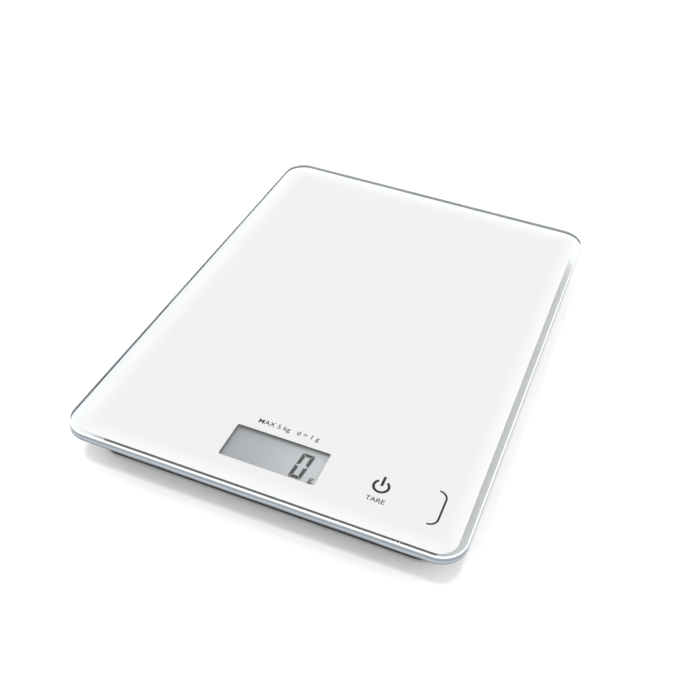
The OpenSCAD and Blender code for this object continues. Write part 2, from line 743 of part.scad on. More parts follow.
module base_shell() {
    boss_r = small_screw_r + boss_wall;
    mount_block = cell_grip + 2;
    rib_z = z_floor - eps;
    color([0.08, 0.08, 0.09]) difference() {
        union() {
            difference() {
                hull() {
                    slab(body_w - 2 * base_bevel, body_d - 2 * base_bevel, body_r - base_bevel, z_base, 1);
                    slab(body_w, body_d, body_r, z_base + base_bevel, base_h - base_bevel);
                }
                slab(inner_w, inner_d, inner_r, z_floor, base_h);
            }
            difference() {
                slab(inner_w + 2 * tongue_t, inner_d + 2 * tongue_t, inner_r + tongue_t, z_split - 1,
                    tongue_h + 1);
                slab(inner_w, inner_d, inner_r, z_split - 2, tongue_h + 3);
            }
            for (sx = [-1, 1]) block(sx * rib_side, 0, rib_z, rib_t, 2 * rib_end, base_rib_h);
            for (y = concat(rear_ribs, [front_rib])) block(0, y, rib_z, 2 * rib_side, rib_t, base_rib_h);
            for (sy = [-1, 1]) translate([-rib_side, sy * (cell_w / 2 + 1) - rib_t / 2, rib_z])
                cube([rib_side - cell_end + 1, rib_t, base_rib_h]);
            translate([-cell_end - 1, -cell_w / 2 - 2, z_base]) cube([mount_block, cell_w + 4,
                z_cell - z_base]);
            peg(stop_x, 0, rib_z, cell_screw_r + boss_wall, cell_gap - travel - 0.4);
            bay_body();
            for (sx = [-1, 1]) peg(unit_x + sx * switch_hole_x, unit_y, rib_z, boss_r,
                z_switch_board - rib_z);
        }
        bay_space();
        for (x = bolt_x) {
            peg(-x, 0, z_base - 1, cell_screw_r + 2 * fit, z_cell);
            peg(-x, 0, z_base - 1, cell_head_r + gap, counterbore + 1);
        }
        peg(stop_x, 0, z_base - 1, cell_hole_r, z_cell);
        peg(unit_x, unit_y, z_base - 1, unit_r + gap, floor_t + 2);
        for (sx = [-1, 1]) peg(unit_x + sx * switch_hole_x, unit_y, z_floor + 0.5, small_hole_r,
            z_switch_board);
        for (sx = [-1, 1]) for (sy = [-1, 1]) foot_at(sx, sy, z_base - 1, foot_r + gap / 2, 1 + foot_pocket);
    }
}

// Cylinder at one of the four feet
module foot_at(sx, sy, z, r, h) {
    peg(sx * (body_w / 2 - foot_inset), sy * (body_d / 2 - foot_inset), z, r, h);
}

// Rubber feet with a small bevel round the sole
module rubber_feet() {
    h = foot_h + foot_pocket - 0.1;
    bevel = 0.3;
    color([0.2, 0.2, 0.21]) for (sx = [-1, 1]) for (sy = [-1, 1])
        translate([sx * (body_w / 2 - foot_inset), sy * (body_d / 2 - foot_inset), 0]) rotate_extrude()
            polygon([[0, 0], [foot_r - bevel, 0], [foot_r, bevel], [foot_r, h], [0, h]]);
}

module foot_adhesive() {
    color([0.85, 0.85, 0.8]) for (sx = [-1, 1]) for (sy = [-1, 1])
        foot_at(sx, sy, foot_h + foot_pocket - 0.1, foot_r - 0.5, 0.1);
}

module rating_label() {
    color([0.8, 0.81, 0.82]) slab_at(0, rear_ribs[1], label_w, label_d, 2, z_base - 0.1, 0.1);
}

// ---- Battery ----

// Coin cell: a wide can with a narrower cap above it
module coin_cell() {
    cap_h = 0.35;
    color([0.75, 0.76, 0.78]) union() {
        peg(bay_x, bay_y, z_coin, coin_r, coin_h - cap_h);
        peg(bay_x, bay_y, z_coin + coin_h - cap_h - eps, coin_r - 1.2, cap_h + eps);
    }
}

// Leaf beside the coin cell, bent over the compartment's roof
module positive_contact() {
    color([0.85, 0.75, 0.45]) union() {
        translate([positive_x - contact_t, bay_y - contact_w / 2, z_bay_seat + 0.4])
            cube([contact_t, contact_w, z_bay_top + contact_t - z_bay_seat - 0.4]);
        translate([positive_x - 3.2, bay_y - contact_w / 2, z_bay_top]) cube([3.2, contact_w, contact_t]);
    }
}

// Strip above the coin cell with a riser through the roof
module negative_contact() {
    z = z_coin + coin_h + 0.05;
    color([0.85, 0.75, 0.45]) union() {
        translate([bay_x - contact_w / 2, bay_y - coin_r * 0.6, z])
            cube([contact_w, negative_y + contact_t - bay_y + coin_r * 0.6, contact_t]);
        translate([bay_x - contact_w / 2, negative_y, z]) cube([contact_w, contact_t,
            z_bay_top + contact_t - z]);
        translate([bay_x - contact_w / 2, negative_y, z_bay_top]) cube([contact_w, 3.2, contact_t]);
    }
}

// Flap with a hinge barrel at its rear end and a finger tab at its front end
module battery_door() {
    grip_n = 5;
    color([0.1, 0.1, 0.11]) difference() {
        union() {
            translate([bay_x - door_w / 2, bay_y - door_l / 2, z_base]) cube([door_w, door_l - barrel_r,
                door_t]);
            translate([bay_x, hinge_y, z_hinge]) rotate([0, 90, 0]) {
                cylinder(r = barrel_r, h = door_w, center = true);
                cylinder(r = hinge_pin_r, h = door_w + 2 * (gap + hinge_pin_l) - 0.2, center = true);
            }
            block(bay_x, bay_y - door_l / 2 + 0.7, z_base + door_t - eps, 8, 1.4, 0.25);
        }
        for (i = [0:grip_n - 1]) block(bay_x, bay_y - door_l / 2 + 3 + 1.6 * i, z_base - 1, 12, 0.8, 1.35);
    }
}

// Foam pad on the door that steadies the coin cell
module door_pad() {
    color([0.3, 0.3, 0.3]) block(bay_x, bay_y, z_base + door_t, 10, 10, z_coin - z_base - door_t - 0.1);
}

// ---- Unit button ----

module unit_button() {
    color([0.12, 0.12, 0.13]) difference() {
        union() {
            peg(unit_x, unit_y, z_base + 0.2, unit_r, z_flange - z_base - 0.2 + flange_t);
            peg(unit_x, unit_y, z_flange, unit_r + flange_side, flange_t);
            peg(unit_x, unit_y, z_flange + flange_t - eps, plunger_r, z_plunger - z_flange - flange_t + eps);
        }
        translate([unit_x, unit_y, z_base]) rotate_extrude()
            polygon([[0, -1], [unit_r - 1, -1], [unit_r - 1, 0.4], [0, 0.6]]);
    }
}

module switch_plunger() {
    color([0.3, 0.3, 0.32]) peg(unit_x, unit_y, z_plunger, plunger_r, 1.2);
}

module unit_switch() {
    depth = z_plunger + 1.2 + unit_travel + 0.1 - z_switch;
    color([0.15, 0.15, 0.16]) difference() {
        block(unit_x, unit_y, z_switch, switch_side, switch_side, switch_h);
        peg(unit_x, unit_y, z_switch - 1, plunger_r + 0.15, depth + 1);
    }
}

module switch_board() {
    color([0.08, 0.32, 0.16]) difference() {
        block(unit_x, unit_y, z_switch_board, switch_board_w, switch_board_d, board_t);
        for (sx = [-1, 1])
            peg(unit_x + sx * switch_hole_x, unit_y, z_switch_board - 1, small_screw_r + 2 * fit,
                board_t + 2);
    }
}

module switch_board_screws() {
    color([0.72, 0.73, 0.75]) for (sx = [-1, 1])
        translate([unit_x + sx * switch_hole_x, unit_y, z_switch_board + board_t]) rotate([180, 0, 0])
            screw(small_screw_r, board_t + 3, small_head_r, head_h);
}

// ---- Wires between the base and the board ----

z_run = z_board_top + 1.1;

// Route from start to finish whose two ends run straight
function lead(start, p, finish) = concat([start], route(p, 3), [finish]);

// Four thin wires from the strain gauges to the board
module cell_wires() {
    r = 0.35;
    start_y = -cell_w / 2 + 1;
    z0 = z_cell_top + r + 0.05;
    end_y = board_rear_y - 2;
    color([0.7, 0.15, 0.12]) for (i = [-1.5:1:1.5]) wire(lead([i, start_y, z0], [
        [i, start_y - 2, z0], [i, start_y - 4, z0 - 0.1], [i * 1.1, start_y - 9, z_run],
        [-4 + i * 1.1, (start_y + end_y) / 2, z_run], [-2 + i * 1.5, end_y + 7, z_run],
        [i * 2, end_y + 1, z_run - 0.1], [i * 2, end_y, z_board_top + 0.5]],
        [i * 2, end_y, z_board_top]), r, [1, 0, 0]);
}

// Two leads from the battery contacts to the board
module battery_leads() {
    z0 = z_bay_top + contact_t;
    from = [[positive_x - 2, bay_y], [bay_x, negative_y + 2]];
    end_y = board_rear_y - 2;
    turn = [[bay_x - 3, end_y + 5], [bay_x + 12, end_y + 12]];
    near = [[-5, 3], [-1.5, 6]];
    color([0.15, 0.15, 0.15]) for (k = [0, 1]) let (x = from[k][0], y = from[k][1],
        end_x = board_x0 + 11.5 + 4 * k)
        wire(lead([x, y, z0], [
            [x, y, z0 + 0.6], [x + 1, y - 5, z_run], [turn[k][0], turn[k][1], z_run],
            [end_x + near[k][0], end_y + near[k][1], z_run], [end_x, end_y + 0.5, z_run - 0.2],
            [end_x, end_y, z_board_top + 0.5]],
            [end_x, end_y, z_board_top]), 0.45, [1, 1, 0]);
}

// Two wires from the unit switch's board to the main board
module unit_wires() {
    z0 = z_switch_board + board_t;
    y = unit_y + 2;
    end_y = board_rear_y - 2;
    color([0.85, 0.85, 0.85]) for (k = [-1, 1]) let (x = unit_x + k * 1.5)
        wire(lead([x, y, z0], [
            [x, y, z0 + 0.6], [x, y - 6, z_run], [x - 2, end_y + 10, z_run],
            [x - 3, end_y + 1, z_run - 0.1], [x - 3, end_y, z_board_top + 0.5]],
            [x - 3, end_y, z_board_top]), 0.35, [1, 0, 0]);
}

glass_plate();
back_print();
symbol_print();
adhesive_tape();
carrier();
lcd_front_glass();
lcd_rear_glass();
lcd_segments();
lcd_reflector();
lcd_frame();
zebra_strip();
main_board();
controller_chip();
board_components();
board_screws();
touch_electrode();
touch_spring();
load_plate();
load_plate_screws();
platform_cell_screws();
load_cell();
strain_gauges();
gauge_sealant();
base_cell_screws();
overload_stop();
base_shell();
rubber_feet();
foot_adhesive();
rating_label();
coin_cell();
positive_contact();
negative_contact();
battery_door();
door_pad();
unit_button();
switch_plunger();
unit_switch();
switch_board();
switch_board_screws();
cell_wires();
battery_leads();
unit_wires();
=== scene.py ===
"""Glass kitchen scale: finished meshes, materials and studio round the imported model."""
import json
import logging
import math
from dataclasses import dataclass
from enum import Enum

import bpy
import numpy as np
from mathutils import Matrix, Vector


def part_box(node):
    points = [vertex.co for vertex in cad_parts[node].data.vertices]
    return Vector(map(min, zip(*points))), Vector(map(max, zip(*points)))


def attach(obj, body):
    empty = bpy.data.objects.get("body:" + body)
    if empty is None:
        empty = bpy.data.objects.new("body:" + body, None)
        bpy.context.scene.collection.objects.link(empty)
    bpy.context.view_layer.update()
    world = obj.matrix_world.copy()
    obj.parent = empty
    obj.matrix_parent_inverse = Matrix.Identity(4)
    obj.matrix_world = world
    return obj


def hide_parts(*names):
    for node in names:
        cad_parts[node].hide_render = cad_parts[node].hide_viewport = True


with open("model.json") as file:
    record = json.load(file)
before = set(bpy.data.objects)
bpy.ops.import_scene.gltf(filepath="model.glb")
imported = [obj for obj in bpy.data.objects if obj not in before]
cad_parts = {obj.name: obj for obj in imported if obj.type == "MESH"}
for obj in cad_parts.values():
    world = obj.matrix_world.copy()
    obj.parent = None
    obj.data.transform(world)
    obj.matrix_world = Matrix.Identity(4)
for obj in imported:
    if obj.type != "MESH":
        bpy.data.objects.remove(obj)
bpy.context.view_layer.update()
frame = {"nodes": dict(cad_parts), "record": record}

log = logging.getLogger("kitchen_scale")

MM = 0.001
Colour = tuple[float, float, float]
Point = tuple[float, float, float]


# ---------------------------------------------------------------- geometry


@dataclass(frozen=True)
class Chain:
    """A profile as points (inset, height) in metres with the surface's normal (outward, up) at each."""

    points: np.ndarray
    normals: np.ndarray

    @classmethod
    def filleted(cls, corners: list[tuple[float, float, float]], steps: int = 5) -> "Chain":
        """Profile through corners, each rounded by an arc.

        At a corner with fillet radius r the arc's centre lies r / sin(half angle) along the bisector;
        the arc runs between the two tangent points and its normals turn evenly from one side to the next.
        The first and last corners stay sharp.

        Args:
            corners: (inset, height, fillet radius) in metres, from the underside to the top.
            steps: arc divisions per fillet.

        Returns:
            The rounded profile.
        """
        xy = np.array([c[:2] for c in corners], float)
        sides = np.diff(xy, axis=0)
        sides /= np.linalg.norm(sides, axis=1, keepdims=True)
        outward = np.stack([sides[:, 1], sides[:, 0]], axis=1)
        points, normals = [xy[:1]], [outward[:1]]
        for i in range(1, len(xy) - 1):
            n0, n1, radius = outward[i - 1], outward[i], corners[i][2]
            t = np.linspace(0.0, 1.0, steps + 1)[:, None]
            if radius <= 0.0:
                points.append(np.repeat(xy[i:i + 1], 2, axis=0))
                normals.append(np.stack([n0, n1]))
                continue
            turn = math.acos(float(np.clip(n0 @ n1, -1.0, 1.0)))
            blend = (np.sin((1 - t) * turn) * n0 + np.sin(t * turn) * n1) / math.sin(turn)
            convex = n0[0] * n1[1] - n0[1] * n1[0] > 0
            reach = radius * math.tan(turn / 2)
            start = xy[i] - sides[i - 1] * reach
            sign = 1.0 if convex else -1.0
            step = np.array([-1.0, 1.0]) * radius * sign
            points.append(start + (blend - n0) * step)
            normals.append(blend)
        points.append(xy[-1:])
        normals.append(outward[-1:])
        return cls(np.concatenate(points), np.concatenate(normals))


@dataclass(frozen=True)
class Outline:
    """A rectangle with round corners in plan; a circle when its sides have no straight part."""

    width: float
    depth: float
    radius: float
    centre: tuple[float, float] = (0.0, 0.0)
    steps: int = 24

    def corners(self) -> tuple[np.ndarray, np.ndarray]:
        """Arc centres and unit directions along the outline, one row per point.

        Point = arc centre + (radius - inset) * (cos a, sin a), with a running once round.

        Returns:
            (centres, directions), each of shape (n, 2).
        """
        quarter = np.arange(4)[:, None]
        a = (quarter + np.linspace(0, 1, self.steps + 1)[None, :]) * (math.pi / 2)
        sx = np.where((quarter == 0) | (quarter == 3), 1.0, -1.0) * (self.width / 2 - self.radius)
        sy = np.where(quarter < 2, 1.0, -1.0) * (self.depth / 2 - self.radius)
        centres = np.stack(np.broadcast_arrays(sx, sy, a), axis=-1)[..., :2].reshape(-1, 2)
        a = a.reshape(-1)
        directions = np.stack([np.cos(a), np.sin(a)], axis=1)
        place = centres + self.radius * directions
        keep = np.linalg.norm(place - np.roll(place, 1, axis=0), axis=1) > 1e-7
        return (centres + np.array(self.centre))[keep], directions[keep]


def build_mesh(name: str, points: np.ndarray, faces: list, normals: np.ndarray | None = None,
               caps: int = 0) -> bpy.types.Object:
    """Object at the origin from vertices and faces.

    Args:
        name: the piece's name.
        points: (n, 3) vertices in metres.
        faces: vertex indices of each face, outward by the right-hand rule.
        normals: (n, 3) unit normals at the vertices, or None to find them from the faces.
        caps: how many of the last faces stay flat among smooth ones.

    Returns:
        The linked object.
    """
    mesh = bpy.data.meshes.new(name)
    mesh.from_pydata(points.tolist(), [], faces)
    mesh.update()
    if normals is not None:
        mesh.polygons.foreach_set("use_smooth", np.ones(len(mesh.polygons), bool))
        corner = np.empty(len(mesh.loops), np.int32)
        mesh.loops.foreach_get("vertex_index", corner)
        at_corner = normals[corner]
        for face in list(mesh.polygons)[len(faces) - caps:]:
            at_corner[face.loop_start:face.loop_start + face.loop_total] = face.normal
        mesh.normals_split_custom_set(at_corner.tolist())
    else:
        mesh.polygons.foreach_set("use_smooth", np.ones(len(mesh.polygons), bool))
        mesh.set_sharp_from_angle(angle=math.radians(32))
    piece = bpy.data.objects.new(name, mesh)
    bpy.context.scene.collection.objects.link(piece)
    return piece


def grid_faces(rings: int, around: int) -> list:
    """Quads between successive rings that close on themselves.

    Args:
        rings: number of rings.
        around: vertices in each ring.

    Returns:
        Faces as index lists, outward where rings go from inset underside to top.
    """
    i, j = np.meshgrid(np.arange(rings - 1), np.arange(around), indexing="ij")
    k = (j + 1) % around
    quads = np.stack([i * around + j, i * around + k, (i + 1) * around + k, (i + 1) * around + j], axis=-1)
    return quads.reshape(-1, 4).tolist()


def closed_faces(rings: int, around: int) -> list:
    """Quads between successive rings, and a flat face on the first ring and on the last."""
    last = (rings - 1) * around
    return grid_faces(rings, around) + [list(range(around - 1, -1, -1)), [last + j for j in range(around)]]


def loft_surface(outline: Outline, chain: Chain) -> tuple[np.ndarray, list, np.ndarray]:
    """Profile carried round an outline, with flat ends.

    Vertex(i, j) = arc centre j + (radius - inset i) * direction j, at height i.

    Args:
        outline: the plan shape.
        chain: the profile from the underside's rim to the top's rim.

    Returns:
        (vertices, faces, normals); the two ends are the last faces.
    """
    centres, directions = outline.corners()
    inset, height = chain.points[:, 0, None, None], chain.points[:, 1, None]
    plan = centres[None] + (outline.radius - inset) * directions[None]
    rings, around = len(chain.points), len(centres)
    points = np.concatenate([plan, np.broadcast_to(height, (rings, around))[..., None]], axis=-1)
    normals = np.concatenate([
        chain.normals[:, 0, None, None] * directions[None],
        np.broadcast_to(chain.normals[:, 1, None], (rings, around))[..., None]], axis=-1)
    return points.reshape(-1, 3), closed_faces(rings, around), normals.reshape(-1, 3)


def loft(name: str, outline: Outline, chain: Chain) -> bpy.types.Object:
    """The closed solid of a lofted surface, with its ends shaded flat."""
    return build_mesh(name, *loft_surface(outline, chain), caps=2)


def gather(name: str, made: list[tuple]) -> bpy.types.Object:
    """Several surfaces as one piece.

    Args:
        name: the piece's name.
        made: (vertices, faces) of each, or (vertices, faces, normals).

    Returns:
        The piece.
    """
    starts = np.cumsum([0] + [len(part[0]) for part in made])
    faces = [[int(start) + v for v in face] for start, part in zip(starts, made) for face in part[1]]
    normals = np.concatenate([part[2] for part in made]) if len(made[0]) == 3 else None
    return build_mesh(name, np.concatenate([part[0] for part in made]), faces, normals)


def lettering(name: str, text: str, centre: tuple[float, float], width: float, low: float, high: float,
              weight: float = 0.01) -> bpy.types.Object:
    """Thin solid letters lying flat, read from above.

    Args:
        name: the piece's name.
        text: what it says.
        centre: middle of the word in plan.
        width: its whole width in metres.
        low: height of its underside.
        high: height of its top.
        weight: how far the strokes are widened, as a share of the letters' size.

    Returns:
        The letters as one object with its place in its mesh.
    """
    curve = bpy.data.curves.new(name, "FONT")
    curve.body = text
    curve.size = 1.0
    curve.offset = weight
    curve.extrude = 0.01
    source = bpy.data.objects.new(name + "_curve", curve)
    bpy.context.scene.collection.objects.link(source)
    bpy.context.view_layer.update()
    mesh = bpy.data.meshes.new_from_object(source.evaluated_get(bpy.context.evaluated_depsgraph_get()))
    bpy.data.objects.remove(source)
    bpy.data.curves.remove(curve)
    mesh.name = name
    co = np.empty(len(mesh.vertices) * 3, np.float32)
    mesh.vertices.foreach_get("co", co)
    co = co.reshape(-1, 3)
    lo, hi = co.min(0), co.max(0)
    scale = width / (hi[0] - lo[0])
    co[:, :2] = (co[:, :2] - (lo[:2] + hi[:2]) / 2) * scale + np.array(centre)
    co[:, 2] = np.where(co[:, 2] > 0, high, low)
    mesh.vertices.foreach_set("co", co.reshape(-1))
    mesh.update()
    mesh.materials.clear()
    piece = bpy.data.objects.new(name, mesh)
    bpy.context.scene.collection.objects.link(piece)
    return piece


# ---------------------------------------------------------------- shader groups


class Sockets(Enum):
    """Kinds of group socket."""

    COLOUR = "NodeSocketColor"
    VALUE = "NodeSocketFloat"
    VECTOR = "NodeSocketVector"


SURFACE_INPUTS = {"Vector": Sockets.VECTOR, "Dark": Sockets.COLOUR, "Light": Sockets.COLOUR,
                  "Scale": Sockets.VALUE, "Smooth": Sockets.VALUE, "Rough": Sockets.VALUE}
SURFACE_OUTPUTS = {"Colour": Sockets.COLOUR, "Roughness": Sockets.VALUE, "Height": Sockets.VALUE}


class Graph:
    """A node tree being built, with short calls for adding and wiring nodes."""

    def __init__(self, tree: bpy.types.NodeTree) -> None:
        """Take over a tree and clear it."""
        self.tree = tree
        tree.nodes.clear()

    def add(self, kind: str, **settings: object) -> bpy.types.Node:
        """Add a node.

        Args:
            kind: Blender's node type.
            settings: attributes of the node.

        Returns:
            The new node.
        """
        node = self.tree.nodes.new(kind)
        for key, value in settings.items():
            setattr(node, key, value)
        return node

    def wire(self, source: bpy.types.NodeSocket, target: bpy.types.NodeSocket) -> None:
        """Join two sockets."""
        self.tree.links.new(source, target)

    def split(self, vector: bpy.types.NodeSocket) -> bpy.types.NodeOutputs:
        """The three parts of a vector, by letter."""
        node = self.add("ShaderNodeSeparateXYZ")
        self.wire(vector, node.inputs[0])
        return node.outputs

    def stretched(self, vector: bpy.types.NodeSocket, scale: Point) -> bpy.types.NodeSocket:
        """A vector scaled along each axis, to draw a pattern out."""
        node = self.add("ShaderNodeMapping")
        node.inputs["Scale"].default_value = scale
        self.wire(vector, node.inputs["Vector"])
        return node.outputs["Vector"]

    def noise(self, vector: bpy.types.NodeSocket, scale: float | bpy.types.NodeSocket, detail: float = 3.0,
              ) -> bpy.types.NodeSocket:
        """Noise value from 0 to 1.

        Args:
            vector: where it is read.
            scale: a number, or a socket that gives it.
            detail: octaves.

        Returns:
            The noise's value socket.
        """
        node = self.add("ShaderNodeTexNoise")
        node.inputs["Detail"].default_value = detail
        self.wire(vector, node.inputs["Vector"])
        if isinstance(scale, (int, float)):
            node.inputs["Scale"].default_value = scale
        else:
            self.wire(scale, node.inputs["Scale"])
        return node.outputs["Fac"]

    def maths(self, operation: str, *values: float | bpy.types.NodeSocket, clamp: bool = False,
              ) -> bpy.types.NodeSocket:
        """One arithmetic step.

        Args:
            operation: Blender's name of it.
            values: numbers or sockets.
            clamp: keep the result between 0 and 1.

        Returns:
            The result's socket.
        """
        node = self.add("ShaderNodeMath", operation=operation, use_clamp=clamp)
        for i, value in enumerate(values):
            if isinstance(value, (int, float)):
                node.inputs[i].default_value = value
            else:
                self.wire(value, node.inputs[i])
        return node.outputs[0]

    def spread(self, value: bpy.types.NodeSocket, low: float | bpy.types.NodeSocket,
               high: float | bpy.types.NodeSocket, start: float = 0.0, stop: float = 1.0,
               ) -> bpy.types.NodeSocket:
        """Value moved from start..stop to low..high and held there.

        Args:
            value: what is mapped.
            low: result at start.
            high: result at stop.
            start: lower end of the input.
            stop: upper end of the input.

        Returns:
            The result's socket.
        """
        node = self.add("ShaderNodeMapRange", clamp=True)
        self.wire(value, node.inputs["Value"])
        for key, number in (("From Min", start), ("From Max", stop), ("To Min", low), ("To Max", high)):
            if isinstance(number, (int, float)):
                node.inputs[key].default_value = number
            else:
                self.wire(number, node.inputs[key])
        return node.outputs["Result"]

    def blend(self, factor: bpy.types.NodeSocket, a: Colour | bpy.types.NodeSocket,
              b: Colour | bpy.types.NodeSocket) -> bpy.types.NodeSocket:
        """Mix of two colours.

        Args:
            factor: share of b.
            a: first colour or a socket.
            b: second colour or a socket.

        Returns:
            The mixed colour's socket.
        """
        node = self.add("ShaderNodeMix", data_type="RGBA")
        self.wire(factor, node.inputs["Factor"])
        for key, value in ((6, a), (7, b)):
            if isinstance(value, tuple):
                node.inputs[key].default_value = (*value, 1.0)
            else:
                self.wire(value, node.inputs[key])
        return node.outputs[2]


def shared_group(name: str, inputs: dict[str, Sockets], outputs: dict[str, Sockets]) -> tuple[Graph, object, object]:
    """Start a shader node group.

    Args:
        name: the group's name.
        inputs: its input sockets.
        outputs: its output sockets.

    Returns:
        (graph, group input node, group output node).
    """
    tree = bpy.data.node_groups.new(name, "ShaderNodeTree")
    for label, kind in inputs.items():
        tree.interface.new_socket(label, in_out="INPUT", socket_type=kind.value)
    for label, kind in outputs.items():
        tree.interface.new_socket(label, in_out="OUTPUT", socket_type=kind.value)
    graph = Graph(tree)
    return graph, graph.add("NodeGroupInput"), graph.add("NodeGroupOutput")


def moulded_grain() -> bpy.types.NodeTree:
    """Fine even grain of a moulded or cast surface, with a faint unevenness over larger patches.

    Returns:
        Group with Colour, Roughness and Height outputs.
    """
    graph, source, result = shared_group("moulded_grain", SURFACE_INPUTS, SURFACE_OUTPUTS)
    fine = graph.noise(source.outputs["Vector"], source.outputs["Scale"], 4.0)
    broad = graph.noise(source.outputs["Vector"], 38.0, 2.0)
    mixed = graph.maths("ADD", graph.maths("MULTIPLY", fine, 0.6), graph.maths("MULTIPLY", broad, 0.4))
    share = graph.spread(mixed, 0.0, 1.0, 0.3, 0.7)
    graph.wire(graph.blend(share, source.outputs["Dark"], source.outputs["Light"]), result.inputs["Colour"])
    graph.wire(graph.spread(mixed, source.outputs["Smooth"], source.outputs["Rough"], 0.25, 0.75),
               result.inputs["Roughness"])
    graph.wire(fine, result.inputs["Height"])
    return graph.tree


def drawn_lines() -> bpy.types.NodeTree:
    """Fine parallel lines of rolled, turned or brushed metal along one direction.

    Returns:
        Group with Colour, Roughness and Height outputs.
    """
    graph, source, result = shared_group("drawn_lines", SURFACE_INPUTS, SURFACE_OUTPUTS)
    lines = graph.noise(graph.stretched(source.outputs["Vector"], (0.03, 1.0, 1.0)), source.outputs["Scale"], 3.0)
    blotch = graph.noise(source.outputs["Vector"], 160.0, 2.0)
    share = graph.maths("MULTIPLY", lines, graph.spread(blotch, 0.7, 1.2), clamp=True)
    graph.wire(graph.blend(graph.spread(share, 0.0, 1.0, 0.25, 0.75), source.outputs["Dark"],
                           source.outputs["Light"]), result.inputs["Colour"])
    graph.wire(graph.spread(share, source.outputs["Smooth"], source.outputs["Rough"], 0.3, 0.7),
               result.inputs["Roughness"])
    graph.wire(lines, result.inputs["Height"])
    return graph.tree


def handling_marks() -> bpy.types.NodeTree:
    """Faint dull patches that fingers and wiping leave on a glossy face.

    Returns:
        Group with a Roughness output between its Clean and Dull inputs.
    """
    graph, source, result = shared_group(
        "handling_marks",
        {"Vector": Sockets.VECTOR, "Clean": Sockets.VALUE, "Dull": Sockets.VALUE},
        {"Roughness": Sockets.VALUE})
    patches = graph.noise(source.outputs["Vector"], 22.0, 2.0)
    wiped = graph.noise(source.outputs["Vector"], 420.0, 1.0)
    share = graph.maths("MULTIPLY", graph.spread(patches, 0.0, 1.0, 0.5, 0.75), graph.spread(wiped, 0.4, 1.0))
    graph.wire(graph.spread(share, source.outputs["Clean"], source.outputs["Dull"]), result.inputs["Roughness"])
    return graph.tree


# ---------------------------------------------------------------- finishes


class Pattern(Enum):
    """Which shared surface effect a plain finish uses."""

    GRAIN = "moulded_grain"
    LINES = "drawn_lines"


class Library:
    """Shared groups and finished materials, each built once."""

    def __init__(self) -> None:
        """Build the shared groups."""
        self.groups = {"moulded_grain": moulded_grain(), "drawn_lines": drawn_lines(),
                       "handling_marks": handling_marks()}
        self.made: dict[str, bpy.types.Material] = {}

    def start(self, name: str) -> tuple[bpy.types.Material, Graph, bpy.types.NodeSocket]:
        """Start a material.

        Args:
            name: the material's name.

        Returns:
            (material, its graph, the object coordinates socket).
        """
        material = bpy.data.materials.new(name)
        material.use_nodes = True
        graph = Graph(material.node_tree)
        self.made[name] = material
        return material, graph, graph.add("ShaderNodeTexCoord").outputs["Object"]

    def group(self, graph: Graph, name: str, vector: bpy.types.NodeSocket, **values: object) -> bpy.types.Node:
        """Place a shared group in a material.

        Args:
            graph: the material's graph.
            name: the group.
            vector: where it is read.
            values: its other inputs; colours as triples.

        Returns:
            The group's node.
        """
        node = graph.add("ShaderNodeGroup", node_tree=self.groups[name])
        graph.wire(vector, node.inputs["Vector"])
        for key, value in values.items():
            node.inputs[key].default_value = (*value, 1.0) if isinstance(value, tuple) else value
        return node

    @staticmethod
    def principled(graph: Graph, **values: object) -> bpy.types.Node:
        """Principled shader joined to the material's output.

        Args:
            graph: the material's graph.
            values: constants for its sockets, with underscores for spaces.

        Returns:
            The shader node.
        """
        shader = graph.add("ShaderNodeBsdfPrincipled")
        for key, value in values.items():
            socket = shader.inputs[key.replace("_", " ")]
            socket.default_value = (*value, 1.0) if isinstance(value, tuple) else value
        graph.wire(shader.outputs[0], graph.add("ShaderNodeOutputMaterial").inputs["Surface"])
        return shader

    @staticmethod
    def bump(graph: Graph, height: bpy.types.NodeSocket, shader: bpy.types.Node, depth: float,
             strength: float = 1.0) -> None:
        """Feed a height to a shader's normal.

        Args:
            graph: the material's graph.
            height: the height from 0 to 1.
            shader: the shader.
            depth: the height of 1 in metres.
            strength: how much of it shows.
        """
        node = graph.add("ShaderNodeBump")
        node.inputs["Distance"].default_value = depth
        node.inputs["Strength"].default_value = strength
        graph.wire(height, node.inputs["Height"])
        graph.wire(node.outputs[0], shader.inputs["Normal"])


@dataclass(frozen=True)
class PlainFinish:
    """A finish whose colour, gloss and relief come from one shared effect."""

    name: str
    dark: Colour
    light: Colour
    smooth: float
    rough: float
    scale: float = 2600.0
    depth: float = 0.00002
    metallic: float = 0.0
    coat: float = 0.0
    pattern: Pattern = Pattern.GRAIN
    specular: float = 0.5

    def make(self, library: Library) -> bpy.types.Material:
        """Build the material.

        Args:
            library: where the groups are.

        Returns:
            The material.
        """
        material, graph, place = library.start(self.name)
        group = library.group(graph, self.pattern.value, place, Dark=self.dark, Light=self.light,
                              Scale=self.scale, Smooth=self.smooth, Rough=self.rough)
        shader = library.principled(graph, Metallic=self.metallic, Coat_Weight=self.coat,
                                    Specular_IOR_Level=self.specular)
        graph.wire(group.outputs["Colour"], shader.inputs["Base Color"])
        graph.wire(group.outputs["Roughness"], shader.inputs["Roughness"])
        library.bump(graph, group.outputs["Height"], shader, self.depth)
        return material


